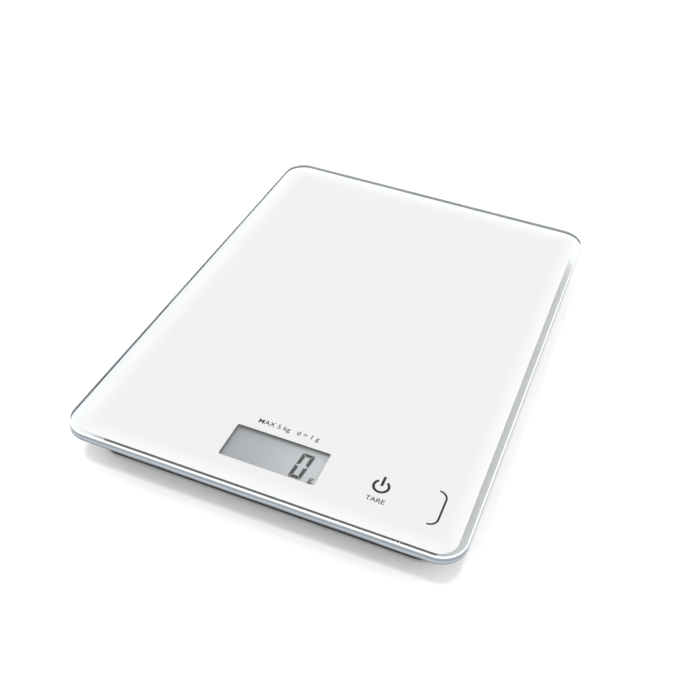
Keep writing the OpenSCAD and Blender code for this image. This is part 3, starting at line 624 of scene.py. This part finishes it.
PLAIN_FINISHES = (
    PlainFinish("black_plastic", (0.012, 0.012, 0.013), (0.026, 0.026, 0.028), 0.5, 0.68, 3200, 0.00004),
    PlainFinish("button_plastic", (0.035, 0.035, 0.037), (0.05, 0.05, 0.053), 0.38, 0.5, 2600, 0.00001),
    PlainFinish("switch_plastic", (0.02, 0.02, 0.021), (0.035, 0.035, 0.036), 0.3, 0.42, 3000, 0.00001),
    PlainFinish("white_plastic", (0.72, 0.72, 0.69), (0.82, 0.82, 0.79), 0.35, 0.48, 2400, 0.00001),
    PlainFinish("white_tape", (0.68, 0.67, 0.62), (0.78, 0.77, 0.72), 0.5, 0.75, 1400, 0.00003),
    PlainFinish("silicone", (0.72, 0.7, 0.66), (0.82, 0.8, 0.76), 0.3, 0.5, 900, 0.00006),
    PlainFinish("epoxy", (0.008, 0.008, 0.008), (0.02, 0.02, 0.02), 0.12, 0.3, 700, 0.00004),
    PlainFinish("foot_rubber", (0.02, 0.02, 0.021), (0.045, 0.045, 0.046), 0.7, 0.9, 3600, 0.00004),
    PlainFinish("foam", (0.03, 0.03, 0.03), (0.1, 0.1, 0.1), 0.85, 1.0, 1500, 0.0003),
    PlainFinish("red_wire", (0.42, 0.025, 0.02), (0.55, 0.05, 0.04), 0.25, 0.4, 1800, 0.00001),
    PlainFinish("black_wire", (0.012, 0.012, 0.012), (0.03, 0.03, 0.03), 0.25, 0.4, 1800, 0.00001),
    PlainFinish("white_wire", (0.7, 0.7, 0.7), (0.82, 0.82, 0.82), 0.25, 0.4, 1800, 0.00001),
    PlainFinish("screw_steel", (0.45, 0.46, 0.48), (0.68, 0.69, 0.71), 0.22, 0.42, 4000, 0.00001, 1.0),
    PlainFinish("spring_steel", (0.5, 0.51, 0.52), (0.72, 0.73, 0.74), 0.18, 0.32, 5000, 0.000005, 1.0),
    PlainFinish("copper", (0.62, 0.3, 0.16), (0.8, 0.45, 0.27), 0.25, 0.45, 3000, 0.00001, 1.0),
    PlainFinish("plate_steel", (0.4, 0.41, 0.43), (0.6, 0.61, 0.63), 0.3, 0.5, 2400, 0.00001, 1.0,
                pattern=Pattern.LINES),
    PlainFinish("cell_aluminium", (0.6, 0.61, 0.63), (0.78, 0.79, 0.81), 0.22, 0.42, 3400, 0.00001, 1.0,
                pattern=Pattern.LINES),
    PlainFinish("coin_steel", (0.5, 0.51, 0.53), (0.72, 0.73, 0.75), 0.16, 0.34, 2800, 0.000008, 1.0,
                pattern=Pattern.LINES),
    PlainFinish("contact_metal", (0.52, 0.45, 0.28), (0.72, 0.64, 0.42), 0.2, 0.38, 3200, 0.000008, 1.0,
                pattern=Pattern.LINES),
    PlainFinish("gauge_foil", (0.5, 0.3, 0.08), (0.72, 0.48, 0.16), 0.3, 0.45, 1800, 0.00001),
    PlainFinish("components", (0.06, 0.05, 0.045), (0.2, 0.17, 0.14), 0.35, 0.6, 1200, 0.00002),
    PlainFinish("label_film", (0.52, 0.53, 0.54), (0.6, 0.61, 0.62), 0.38, 0.5, 2200, 0.000006, 0.6),
    PlainFinish("lcd_ink", (0.003, 0.003, 0.004), (0.008, 0.009, 0.01), 0.5, 0.6, 2200, 0.0, specular=0.0),
    PlainFinish("black_ink", (0.001, 0.001, 0.001), (0.004, 0.004, 0.004), 0.4, 0.55, 2600, 0.0, specular=0.0),
)


@dataclass(frozen=True)
class GlassFinish:
    """Clear float glass. Rays from lamps and from dull surfaces pass it straight, so the print under it is lit."""

    name: str
    tint: Colour
    passed: Colour
    clean: float
    dull: float
    ior: float = 1.52

    def make(self, library: Library) -> bpy.types.Material:
        """Build the material.

        Args:
            library: where the groups are.

        Returns:
            The material.
        """
        material, graph, place = library.start(self.name)
        shader = library.principled(graph, Base_Color=self.tint, Transmission_Weight=1.0, IOR=self.ior)
        marks = library.group(graph, "handling_marks", place, Clean=self.clean, Dull=self.dull)
        graph.wire(marks.outputs["Roughness"], shader.inputs["Roughness"])
        pass_lamps(graph, shader, self.passed)
        return material


GLASS_FINISHES = (
    GlassFinish("clear_glass", (0.985, 0.995, 0.995), (0.97, 0.98, 0.98), 0.0, 0.02),
    GlassFinish("lcd_glass", (0.955, 0.957, 0.96), (0.96, 0.96, 0.962), 0.0, 0.03, 1.12),
    # underside tinted grey: partly real loss of light in the glass, partly painted shade over the floor and display
    # seen through it
    GlassFinish("glass_back_painted_shade", (0.74, 0.77, 0.785), (0.96, 0.98, 0.98), 0.0, 0.01),
)


@dataclass(frozen=True)
class PaintedEdgeFinish:
    """Ground and polished glass edge drawn opaque, with its refractions, reflections and shade painted in: blue grey
    bands of different brightness up its height.
    """

    name: str
    painted_bands: tuple[tuple[float, Colour], ...]
    passed: Colour = (0.62, 0.66, 0.68)
    rough: float = 0.12
    wander: float = 0.3 * MM
    specular: float = 0.03

    def make(self, library: Library) -> bpy.types.Material:
        """Build the material.

        The layers are a ramp over height; a noise drawn out along the edge moves the height read up and down,
        which gives the streaks that a polishing wheel leaves.

        Args:
            library: where the groups are.

        Returns:
            The painted bands are a ramp over height; a noise drawn out along the edge moves the height read up and
            down, so the painted bands wobble in streaks along the edge.
        """
        material, graph, place = library.start(self.name)
        axes = graph.split(place)
        along = graph.stretched(place, (0.08, 0.08, 1.0))
        painted_band_wobble = graph.spread(graph.noise(along, 700.0, 3.0), -self.wander, self.wander, 0.3, 0.7)
        low, high = self.painted_bands[0][0], self.painted_bands[-1][0]
        share = graph.spread(graph.maths("ADD", axes["Z"], painted_band_wobble), 0.0, 1.0, low, high)
        ramp = graph.add("ShaderNodeValToRGB")
        stops = ramp.color_ramp.elements
        for i, (height, shade) in enumerate(self.painted_bands):
            place_on = (height - low) / (high - low)
            stop = stops[i] if i in (0, 1) else stops.new(place_on)
            stop.position = place_on
            stop.color = (*shade, 1.0)
        graph.wire(share, ramp.inputs[0])
        shader = library.principled(graph, IOR=1.52, Roughness=self.rough, Specular_IOR_Level=self.specular)
        graph.wire(ramp.outputs[0], shader.inputs["Base Color"])
        pass_lamps(graph, shader, self.passed)
        return material


EDGE_FINISHES = (
    # painted bands: the dark bottom band is painted shade of the black base under the plate; the brighter bands are
    # painted reflections and refractions
    PaintedEdgeFinish("edge_painted_reflection_bands", (
        (14.1 * MM, (0.06, 0.07, 0.08)), (14.6 * MM, (0.22, 0.24, 0.265)), (15.3 * MM, (0.46, 0.50, 0.54)),
        (15.9 * MM, (0.52, 0.555, 0.595)), (16.5 * MM, (0.28, 0.325, 0.365)), (17.3 * MM, (0.34, 0.39, 0.43)))),
    # painted highlight: the top bevel is coloured white as if lit from above, darker where it meets the side
    PaintedEdgeFinish("arris_painted_highlight", (
        (17.25 * MM, (0.26, 0.30, 0.34)), (17.42 * MM, (0.42, 0.46, 0.50)), (17.52 * MM, (0.96, 0.97, 0.975)),
        (18.0 * MM, (0.95, 0.955, 0.96))), (0.9, 0.92, 0.93), 0.2, 0.03 * MM),
)


def pass_lamps(graph: Graph, shader: bpy.types.Node, passed: Colour) -> None:
    """Let rays from lamps and dull surfaces go straight through a glass.

    Args:
        graph: the material's graph.
        shader: its glass shader.
        passed: the colour that those rays keep.
    """
    clear = graph.add("ShaderNodeBsdfTransparent")
    clear.inputs["Color"].default_value = (*passed, 1.0)
    path = graph.add("ShaderNodeLightPath")
    straight = graph.maths("MAXIMUM", path.outputs["Is Shadow Ray"], path.outputs["Is Diffuse Ray"])
    mix = graph.add("ShaderNodeMixShader")
    graph.wire(straight, mix.inputs[0])
    graph.wire(shader.outputs[0], mix.inputs[1])
    graph.wire(clear.outputs[0], mix.inputs[2])
    output = next(node for node in graph.tree.nodes if node.type == "OUTPUT_MATERIAL")
    graph.wire(mix.outputs[0], output.inputs["Surface"])


@dataclass(frozen=True)
class PrintFinish:
    """White enamel fired on the back of the glass, with painted light: a little brighter near its rim, standing for
    light piped in through the glass.
    """

    middle: Colour = (0.70, 0.69, 0.685)
    # painted light: the brighter colour the print takes near its rim
    rim: Colour = (0.80, 0.795, 0.79)
    half_width: float = 0.0779
    half_depth: float = 0.10915
    reach: float = 0.009

    def make(self, library: Library) -> bpy.types.Material:
        """Build the material.

        The distance to the nearest side is the least of half width - |x| and half depth - |y|.

        Args:
            library: where the groups are.

        Returns:
            The material.
        """
        material, graph, place = library.start("white_print")
        axes = graph.split(place)
        to_side = [graph.maths("SUBTRACT", half, graph.maths("ABSOLUTE", axes[axis]))
                   for axis, half in (("X", self.half_width), ("Y", self.half_depth))]
        nearest = graph.maths("SMOOTH_MIN", to_side[0], to_side[1], 0.004)
        # painted light: share of the brighter rim colour within reach of the print's edge
        share = graph.spread(nearest, 1.0, 0.0, 0.0, self.reach)
        cloud = graph.spread(graph.noise(place, 30.0, 1.0), 0.0, 0.06, 0.3, 0.7)
        share = graph.maths("ADD", graph.maths("POWER", share, 1.6), cloud, clamp=True)
        shader = library.principled(graph, Roughness=0.55, Specular_IOR_Level=0.0)
        graph.wire(graph.blend(share, self.middle, self.rim), shader.inputs["Base Color"])
        return material


@dataclass(frozen=True)
class DisplayFinish:
    """Grey reflector seen through the polariser: a fine metallic speckle, with a painted reflection that darkens it
    towards the left.
    """

    # dark and light ends of the painted reflection across the display
    dark: Colour = (0.385, 0.388, 0.402)
    light: Colour = (0.66, 0.665, 0.665)
    left: float = -0.0195
    right: float = 0.0205

    def make(self, library: Library) -> bpy.types.Material:
        """Build the material.

        Args:
            library: where the groups are.

        Returns:
            The material.
        """
        material, graph, place = library.start("reflector")
        axes = graph.split(place)
        # painted reflection: darker towards the left, lighter towards the right
        painted_reflection_share = graph.spread(axes["X"], 0.0, 1.0, self.left, self.right)
        speckle = graph.spread(graph.noise(place, 9000.0, 2.0), -0.04, 0.04, 0.3, 0.7)
        share = graph.maths("ADD", graph.maths("POWER", painted_reflection_share, 1.5), speckle, clamp=True)
        shader = library.principled(graph, Roughness=0.5, Specular_IOR_Level=0.2)
        graph.wire(graph.blend(share, self.dark, self.light), shader.inputs["Base Color"])
        return material


@dataclass(frozen=True)
class BoardFinish:
    """Green solder mask over copper tracks, with the weave of the laminate showing faintly."""

    mask: Colour = (0.012, 0.11, 0.04)
    track: Colour = (0.03, 0.2, 0.08)

    def make(self, library: Library) -> bpy.types.Material:
        """Build the material.

        Tracks are the borders of large square cells; the weave is a fine noise.

        Args:
            library: where the groups are.

        Returns:
            The material.
        """
        material, graph, place = library.start("circuit_board")
        cells = graph.add("ShaderNodeTexVoronoi", distance="CHEBYCHEV", feature="F1")
        cells.inputs["Scale"].default_value = 420.0
        graph.wire(place, cells.inputs["Vector"])
        lines = graph.spread(cells.outputs["Distance"], 0.0, 1.0, 0.42, 0.5)
        weave = graph.noise(place, 3000.0, 2.0)
        shader = library.principled(graph, Coat_Weight=0.4, Coat_Roughness=0.15)
        shade = graph.blend(lines, self.mask, self.track)
        graph.wire(graph.blend(graph.spread(weave, 0.0, 0.18, 0.3, 0.7), shade, (0.05, 0.16, 0.07)),
                   shader.inputs["Base Color"])
        graph.wire(graph.spread(weave, 0.28, 0.42), shader.inputs["Roughness"])
        library.bump(graph, lines, shader, 0.00003)
        return material


@dataclass(frozen=True)
class ZebraFinish:
    """Rubber connector with its fine dark conducting layers."""

    period: float = 0.0004

    def make(self, library: Library) -> bpy.types.Material:
        """Build the material.

        Args:
            library: where the groups are.

        Returns:
            The material.
        """
        material, graph, place = library.start("zebra_rubber")
        wave = graph.add("ShaderNodeTexWave", wave_type="BANDS", bands_direction="X")
        wave.inputs["Scale"].default_value = 0.314 / self.period
        graph.wire(place, wave.inputs["Vector"])
        shader = library.principled(graph, Roughness=0.6)
        graph.wire(graph.blend(graph.spread(wave.outputs["Fac"], 0.0, 1.0, 0.6, 0.7), (0.75, 0.6, 0.6),
                               (0.03, 0.03, 0.03)), shader.inputs["Base Color"])
        return material


# ---------------------------------------------------------------- the object


class Kit:
    """What every sub-assembly shares: the finishes, and how a piece is dressed and fixed to a body."""

    def __init__(self) -> None:
        """Build every finish."""
        self.library = Library()
        for finish in (*PLAIN_FINISHES, *GLASS_FINISHES, *EDGE_FINISHES, PrintFinish(), DisplayFinish(),
                       BoardFinish(), ZebraFinish()):
            finish.make(self.library)
        self.slot_of = {part["node"]: part["material_slot"] for part in frame["record"]["subparts"]}
        self.body_of = {node: body for body, nodes in frame["record"]["behaviour"]["bodies"].items()
                        for node in nodes}
        self.replaced: set[str] = set()

    def dress(self, piece: bpy.types.Object, *finishes: str) -> None:
        """Give a piece its materials in order."""
        piece.data.materials.clear()
        for finish in finishes:
            piece.data.materials.append(self.library.made[finish])

    def stand_for(self, piece: bpy.types.Object, node: str, *finishes: str) -> None:
        """Put a finished piece in a CAD node's place.

        Args:
            piece: the new piece.
            node: the node it stands for.
            finishes: its materials; the node's own slot if none is given.
        """
        self.dress(piece, *(finishes or (self.slot_of[node],)))
        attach(piece, self.body_of[node])
        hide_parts(node)
        self.replaced.add(node)
        log.info("piece %s stands for %s", piece.name, node)

    def add_to(self, piece: bpy.types.Object, node: str, finish: str) -> None:
        """Fix an added piece to the body of a node.

        Args:
            piece: the new piece.
            node: the node it belongs to.
            finish: its material.
        """
        self.dress(piece, finish)
        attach(piece, self.body_of[node])
        log.info("piece %s added to %s", piece.name, node)

    def dress_frame(self) -> None:
        """Give every CAD node that stays its material."""
        for name, node in frame["nodes"].items():
            if name not in self.replaced:
                slot = self.slot_of[name]
                self.dress(node, "zebra_rubber" if name == "zebra_strip" else slot)


@dataclass
class GlassPlatform:
    """The glass plate with its polished edge, the print under it and the lettering in the print."""

    kit: Kit
    top_arris: float = 0.7 * MM
    bottom_arris: float = 0.45 * MM
    corner_radius: float = 11 * MM
    edge_round: float = 0.12 * MM
    seat: float = 0.01 * MM
    ink_rise: float = 0.004 * MM
    ink_depth: float = 0.05 * MM

    def build(self) -> None:
        """Make the plate and the lettering."""
        self.plate()
        self.words()

    def plate(self) -> None:
        """Glass plate whose rim is two bevels with softly rounded corners; it takes in the print's top face."""
        lo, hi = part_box("glass_plate")
        low = lo.z - self.seat
        chain = Chain.filleted([
            (self.bottom_arris + 0.3 * MM, low, 0.0),
            (self.bottom_arris, low, self.edge_round),
            (0.0, lo.z + self.bottom_arris, self.edge_round),
            (0.0, hi.z - self.top_arris, self.edge_round),
            (self.top_arris, hi.z, self.edge_round),
            (self.top_arris + 0.3 * MM, hi.z, 0.0)])
        piece = loft("glass_plate_polished", Outline(hi.x - lo.x, hi.y - lo.y, self.corner_radius, steps=32), chain)
        self.kit.stand_for(piece, "glass_plate", "clear_glass", "edge_painted_reflection_bands", "glass_back_painted_shade",
                           "arris_painted_highlight")
        normals = np.empty(len(piece.data.polygons) * 3)
        piece.data.polygons.foreach_get("normal", normals)
        up = normals.reshape(-1, 3)[:, 2]
        slots = np.select([up > 0.95, up > 0.4, up < -0.95], [0, 3, 2], 1).astype(np.int32)
        piece.data.polygons.foreach_set("material_index", slots)

    def words(self) -> None:
        """Key label and load marking, set in black enamel level with the print."""
        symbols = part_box("symbol_print")
        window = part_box("lcd_segments")
        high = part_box("back_print")[1].z + self.ink_rise
        low = high - self.ink_depth
        words = (("tare_label", "TARE", (43.3 * MM, symbols[0].y + 3.17 * MM), 7.4 * MM),
                 ("load_marking", "MAX 5 kg   d = 1 g", (-0.1 * MM, window[1].y + 6.9 * MM), 26.0 * MM))
        for name, text, centre, width in words:
            self.kit.add_to(lettering(name, text, centre, width, low, high), "symbol_print", "black_ink")


@dataclass
class Display:
    """The liquid crystal display: unit letter, black border (partly painted shade) and the two glasses with ground
    edges.
    """

    kit: Kit
    air: float = 0.015 * MM
    window_x: float = 0.1 * MM
    window_w: float = 39.8 * MM
    window_d: float = 17.5 * MM
    mask_start: float = 0.1 * MM
    mask_stop: float = 0.5 * MM
    mask_t: float = 0.01 * MM

    def build(self) -> None:
        """Make the unit letter, the border and the two glasses."""
        lo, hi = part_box("lcd_segments")
        letter = lettering("unit_letter", "g", (hi.x + 2.7 * MM, lo.y + 0.95 * MM), 1.9 * MM, lo.z, hi.z)
        self.kit.add_to(letter, "lcd_segments", "lcd_ink")
        self.mask()
        self.sheet("display_front_glass", "lcd_front_glass", "lcd_glass")
        self.sheet("display_rear_glass", "lcd_rear_glass", "reflector")

    def mask(self) -> None:
        """Black border on the display's front glass, just outside the window: partly a printed border, partly painted
        shade along the window's recessed edge.

        A flat ring between two rectangles: four quads between matching corners, each side given its thickness.
        """
        lo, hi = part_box("lcd_segments")
        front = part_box("lcd_front_glass")
        low = front[1].z
        middle = np.array([self.window_x, self.window_middle()])
        inner = np.array([self.window_w / 2 + self.mask_start, self.window_d / 2 + self.mask_start])
        outer = np.array([self.window_w / 2 + self.mask_stop, self.window_d / 2 + self.mask_stop])
        corner = np.array([[1, 1], [-1, 1], [-1, -1], [1, -1]])
        rings = [(outer, low), (outer, low + self.mask_t), (inner, low + self.mask_t), (inner, low)]
        points = np.concatenate([np.column_stack([corner * half + middle, np.full(4, z)]) for half, z in rings])
        piece = build_mesh("display_border_painted_shade", points, grid_faces(4, 4) + [[12, 13, 1, 0], [13, 14, 2, 1], [14, 15, 3, 2],
                                                                       [15, 12, 0, 3]])
        self.kit.add_to(piece, "lcd_front_glass", "black_ink")

    def window_middle(self) -> float:
        """Front to back place of the window: the middle of the digit."""
        lo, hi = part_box("lcd_segments")
        return (lo.y + hi.y) / 2

    def sheet(self, name: str, node: str, finish: str) -> None:
        """One display glass with a narrow ground bevel.

        Args:
            name: the piece's name.
            node: the node it stands for.
            finish: its material; the rear glass shows the reflector behind it.
        """
        lo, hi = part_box(node)
        bevel = 0.12 * MM
        low = lo.z + self.air
        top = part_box("lcd_segments")[0].z - self.air if node == "lcd_rear_glass" else hi.z
        chain = Chain.filleted([(bevel, low, 0.0), (0.0, low + bevel, 0.0), (0.0, top - bevel, 0.0), (bevel, top, 0.0)])
        outline = Outline(hi.x - lo.x, hi.y - lo.y, 0.3 * MM, ((hi.x + lo.x) / 2, (hi.y + lo.y) / 2), 4)
        self.kit.stand_for(loft(name, outline, chain), node, finish)


@dataclass
class Feet:
    """Four turned rubber feet with a shallow hollow in each sole."""

    kit: Kit
    groove: float = 0.25 * MM
    radius: float = 6 * MM

    def build(self) -> None:
        """Turn one profile once round at each corner of the feet's box."""
        lo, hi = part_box("rubber_feet")
        radius = self.radius
        made = []
        for sx in (lo.x + radius, hi.x - radius):
            for sy in (lo.y + radius, hi.y - radius):
                chain = Chain.filleted([
                    (radius - 2.6 * MM, lo.z + self.groove, 0.0), (radius - 3.0 * MM, lo.z + self.groove, 0.08 * MM),
                    (radius - 3.2 * MM, lo.z, 0.08 * MM), (0.35 * MM, lo.z, 0.15 * MM),
                    (0.0, lo.z + 0.35 * MM, 0.1 * MM), (0.0, hi.z, 0.0), (0.1 * MM, hi.z, 0.0)], 3)
                points, faces, normals = loft_surface(Outline(2 * radius, 2 * radius, radius, (sx, sy), 12), chain)
                around = len(points) // len(chain.points)
                normals[:around], normals[-around:] = (0, 0, -1), (0, 0, 1)
                made.append((points, faces, normals))
        self.kit.stand_for(gather("soft_feet", made), "rubber_feet")


@dataclass
class CoinCell:
    """The coin cell: a pressed can with a crimped rim, a gasket and a smaller cap."""

    kit: Kit
    edge: float = 0.45 * MM

    def build(self) -> None:
        """Turn the can's profile once round: from the can's flat, round its edge, over the crimp to the cap."""
        lo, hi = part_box("coin_cell")
        radius, z = (hi.x - lo.x) / 2, lo.z
        middle = ((hi.x + lo.x) / 2, (hi.y + lo.y) / 2)
        rise = hi.z - z
        chain = Chain.filleted([
            (0.72 * radius, z + 0.06 * MM, 0.0), (0.70 * radius, z, 0.02 * MM), (0.0, z, self.edge),
            (0.0, z + rise - 0.35 * MM, 0.22 * MM), (0.75 * MM, z + rise - 0.28 * MM, 0.08 * MM),
            (0.95 * MM, z + rise - 0.55 * MM, 0.05 * MM), (1.3 * MM, z + rise - 0.55 * MM, 0.05 * MM),
            (1.55 * MM, z + rise, 0.2 * MM), (0.6 * radius, z + rise, 0.0)])
        piece = loft("coin_cell_pressed", Outline(2 * radius, 2 * radius, radius, middle, 24), chain)
        self.kit.stand_for(piece, "coin_cell")


@dataclass(frozen=True)
class Screw:
    """One pan head screw: domed head with a cross recess, a threaded shank and a short point."""

    head_r: float
    head_h: float
    thread_r: float
    length: float
    pitch: float = 0.45 * MM
    around: int = 40

    def surface(self, place: tuple[float, float, float], up: bool) -> tuple[np.ndarray, list]:
        """Vertices and faces of the screw.

        Rings run from the middle of the head to the point. On the head, height = -h * sqrt(1 - 0.6 q^2) with
        q = radius / head radius, and it is less by the recess depth where min(|x|, |y|) is under half the slot's
        width and max(|x|, |y|) under half its length. On the shank, radius = thread radius less a saw tooth of
        height / pitch - angle / turn.

        Args:
            place: where head and shank meet.
            up: whether the shank points up.

        Returns:
            (vertices, faces).
        """
        a = np.linspace(0, 2 * math.pi, self.around, endpoint=False)[None, :]
        q = np.linspace(0.03, 1.0, 16)[:, None]
        x, y = q * self.head_r * np.cos(a), q * self.head_r * np.sin(a)
        arm, reach = np.minimum(abs(x), abs(y)), np.maximum(abs(x), abs(y))
        slot = np.clip((0.15 * self.head_r - arm) / (0.04 * self.head_r), 0, 1)
        slot = slot * np.clip((0.58 * self.head_r - reach) / (0.06 * self.head_r), 0, 1)
        dome = -self.head_h * np.sqrt(1 - 0.6 * q ** 2) + slot * 0.5 * self.head_h
        under_r = np.array([1.0, self.thread_r / self.head_r])[:, None] * self.head_r
        rows = max(6, int(self.length * 0.8 / self.pitch) * 6)
        t = np.linspace(0.04, 1.0, rows)[:, None]
        height = t * self.length
        saw = abs(((height / self.pitch - a / (2 * math.pi)) % 1.0) - 0.5) * 2
        fade = np.clip(t * 8, 0, 1) * np.clip((1 - t) * 8, 0, 1)
        point = np.clip((1 - t) * 7, 0.35, 1)
        shank = self.thread_r * point * (1 - 0.2 * saw * fade)
        ones = np.ones_like(a)
        radius = np.concatenate([q * self.head_r * ones, under_r * ones, shank])
        level = np.concatenate([dome, np.zeros((2, 1)) * ones, height * ones])
        sign = 1.0 if up else -1.0
        points = np.stack([place[0] + radius * np.cos(a) * ones, place[1] + sign * radius * np.sin(a),
                           place[2] + sign * level], axis=-1)
        return points.reshape(-1, 3), closed_faces(len(radius), self.around)


@dataclass
class Fasteners:
    """Every screw of the scale."""

    kit: Kit

    def build(self) -> None:
        """Make each set of screws where the frame has it: one at each corner or end of the set's box."""
        sets = (("board_screws", 1.0, 1.2, True, 4), ("load_plate_screws", 1.25, 1.1, True, 4),
                ("platform_cell_screws", 1.5, 1.0, False, 2), ("base_cell_screws", 1.5, 1.1, True, 2),
                ("switch_board_screws", 1.0, 1.2, False, 2))
        for node, thread, head_h, up, count in sets:
            lo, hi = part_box(node)
            head_r = (hi.y - lo.y) / 2 if count == 2 else (thread + (0.9 if thread == 1.0 else 1.05)) * MM
            joint = (lo.z + head_h * MM) if up else (hi.z - head_h * MM)
            shape = Screw(head_r, head_h * MM, thread * MM, (hi.z - joint) if up else (joint - lo.z))
            rows = (lo.y + head_r, hi.y - head_r) if count == 4 else ((lo.y + hi.y) / 2,)
            made = [shape.surface((x, y, joint), up) for x in (lo.x + head_r, hi.x - head_r) for y in rows]
            self.kit.stand_for(gather(node + "_turned", made), node)


@dataclass
class EpoxyDrop:
    """The epoxy drop over the main board's chip."""

    kit: Kit
    around: int = 64

    def build(self) -> None:
        """Make it: depth = h * sqrt(1 - q^2), with a rim that wanders by a few hundredths of its radius."""
        lo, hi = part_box("controller_chip")
        radius, depth = (hi.x - lo.x) / 2, hi.z - lo.z
        a = np.linspace(0, 2 * math.pi, self.around, endpoint=False)[None, :]
        q = np.sin(np.linspace(0.03, 1.0, 20) * math.pi / 2)[:, None]
        wander = 0.965 + 0.02 * np.sin(3 * a + 0.7) + 0.015 * np.sin(5 * a + 2.1)
        level = -depth * np.sqrt(np.clip(1 - q ** 2, 0, 1)) * (1 + 0 * a)
        x = (lo.x + hi.x) / 2 + radius * q * wander * np.cos(a)
        y = (lo.y + hi.y) / 2 + radius * q * wander * np.sin(a)
        points = np.stack([x, y, hi.z + level], axis=-1)
        piece = build_mesh("epoxy_drop", points.reshape(-1, 3), closed_faces(len(q), self.around))
        self.kit.stand_for(piece, "controller_chip")


# ---------------------------------------------------------------- studio


@dataclass
class Studio:
    """Camera, pale floor, soft dome and one soft lamp above."""

    aim: Point = (4.8 * MM, -22.775 * MM, 18 * MM)
    distance: float = 0.419
    azimuth: float = 18.54
    elevation: float = 40.76
    roll: float = 4.45
    lens: float = 50.0
    floor_size: float = 8.0
    floor_albedo: float = 0.98
    dome_strength: float = 1.08
    horizon: Colour = (0.14, 0.17, 0.19)
    lamp_place: Point = (-0.2, -0.02, 1.75)
    lamp_size: float = 0.3
    lamp_power: float = 7.5

    def build(self) -> None:
        """Make the whole studio."""
        self.camera()
        self.floor()
        self.dome()
        self.lamps()

    def camera(self) -> None:
        """Camera that looks at the aim point from its azimuth and elevation, rolled a little."""
        a, e = math.radians(self.azimuth), math.radians(self.elevation)
        back = Vector((math.sin(a) * math.cos(e), -math.cos(a) * math.cos(e), math.sin(e)))
        right = Vector((0, 0, 1)).cross(back).normalized()
        turn = Matrix((right, back.cross(right), back)).transposed()
        data = bpy.data.cameras.new("camera")
        data.lens = self.lens
        data.sensor_width = 36.0
        data.clip_start = 0.01
        camera = bpy.data.objects.new("camera", data)
        place = turn @ Matrix.Rotation(math.radians(self.roll), 3, "Z")
        camera.matrix_world = Matrix.Translation(Vector(self.aim) + back * self.distance) @ place.to_4x4()
        bpy.context.scene.collection.objects.link(camera)
        bpy.context.scene.camera = camera

    def floor(self) -> None:
        """Plain pale floor."""
        h = self.floor_size / 2
        floor = build_mesh("floor", np.array([[-h, -h, 0], [h, -h, 0], [h, h, 0], [-h, h, 0]], float), [[0, 1, 2, 3]])
        material = bpy.data.materials.new("floor")
        material.use_nodes = True
        shader = material.node_tree.nodes["Principled BSDF"]
        shader.inputs["Base Color"].default_value = (*[self.floor_albedo] * 3, 1)
        shader.inputs["Roughness"].default_value = 1.0
        shader.inputs["Specular IOR Level"].default_value = 0.0
        floor.data.materials.append(material)

    def dome(self) -> None:
        """Even white dome with a cooler, darker band low down that gives the glass edges their tone."""
        world = bpy.data.worlds.new("dome")
        bpy.context.scene.world = world
        world.use_nodes = True
        graph = Graph(world.node_tree)
        axes = graph.split(graph.add("ShaderNodeTexCoord").outputs["Generated"])
        high = graph.spread(axes["Z"], 0.0, 1.0, 0.03, 0.32)
        light = graph.add("ShaderNodeBackground")
        light.inputs["Strength"].default_value = self.dome_strength
        graph.wire(graph.blend(high, self.horizon, (1.0, 1.0, 1.0)), light.inputs["Color"])
        graph.wire(light.outputs[0], graph.add("ShaderNodeOutputWorld").inputs["Surface"])

    def lamps(self) -> None:
        """Soft lamp nearly straight above, a little to the rear left."""
        data = bpy.data.lights.new("soft_lamp", "AREA")
        data.shape = "DISK"
        data.size = self.lamp_size
        data.energy = self.lamp_power
        lamp = bpy.data.objects.new("soft_lamp", data)
        place = Vector(self.lamp_place)
        lamp.matrix_world = Matrix.Translation(place) @ place.to_track_quat("Z", "Y").to_matrix().to_4x4()
        bpy.context.scene.collection.objects.link(lamp)
        bpy.context.scene.view_settings.view_transform = "Standard"


def main() -> None:
    """Build the studio, then each sub-assembly, then dress what stays of the frame."""
    logging.basicConfig(level=logging.INFO)
    Studio().build()
    kit = Kit()
    for part in (GlassPlatform(kit), Display(kit), Feet(kit), CoinCell(kit), EpoxyDrop(kit), Fasteners(kit)):
        part.build()
    kit.dress_frame()


if __name__ == "__main__":
    main()
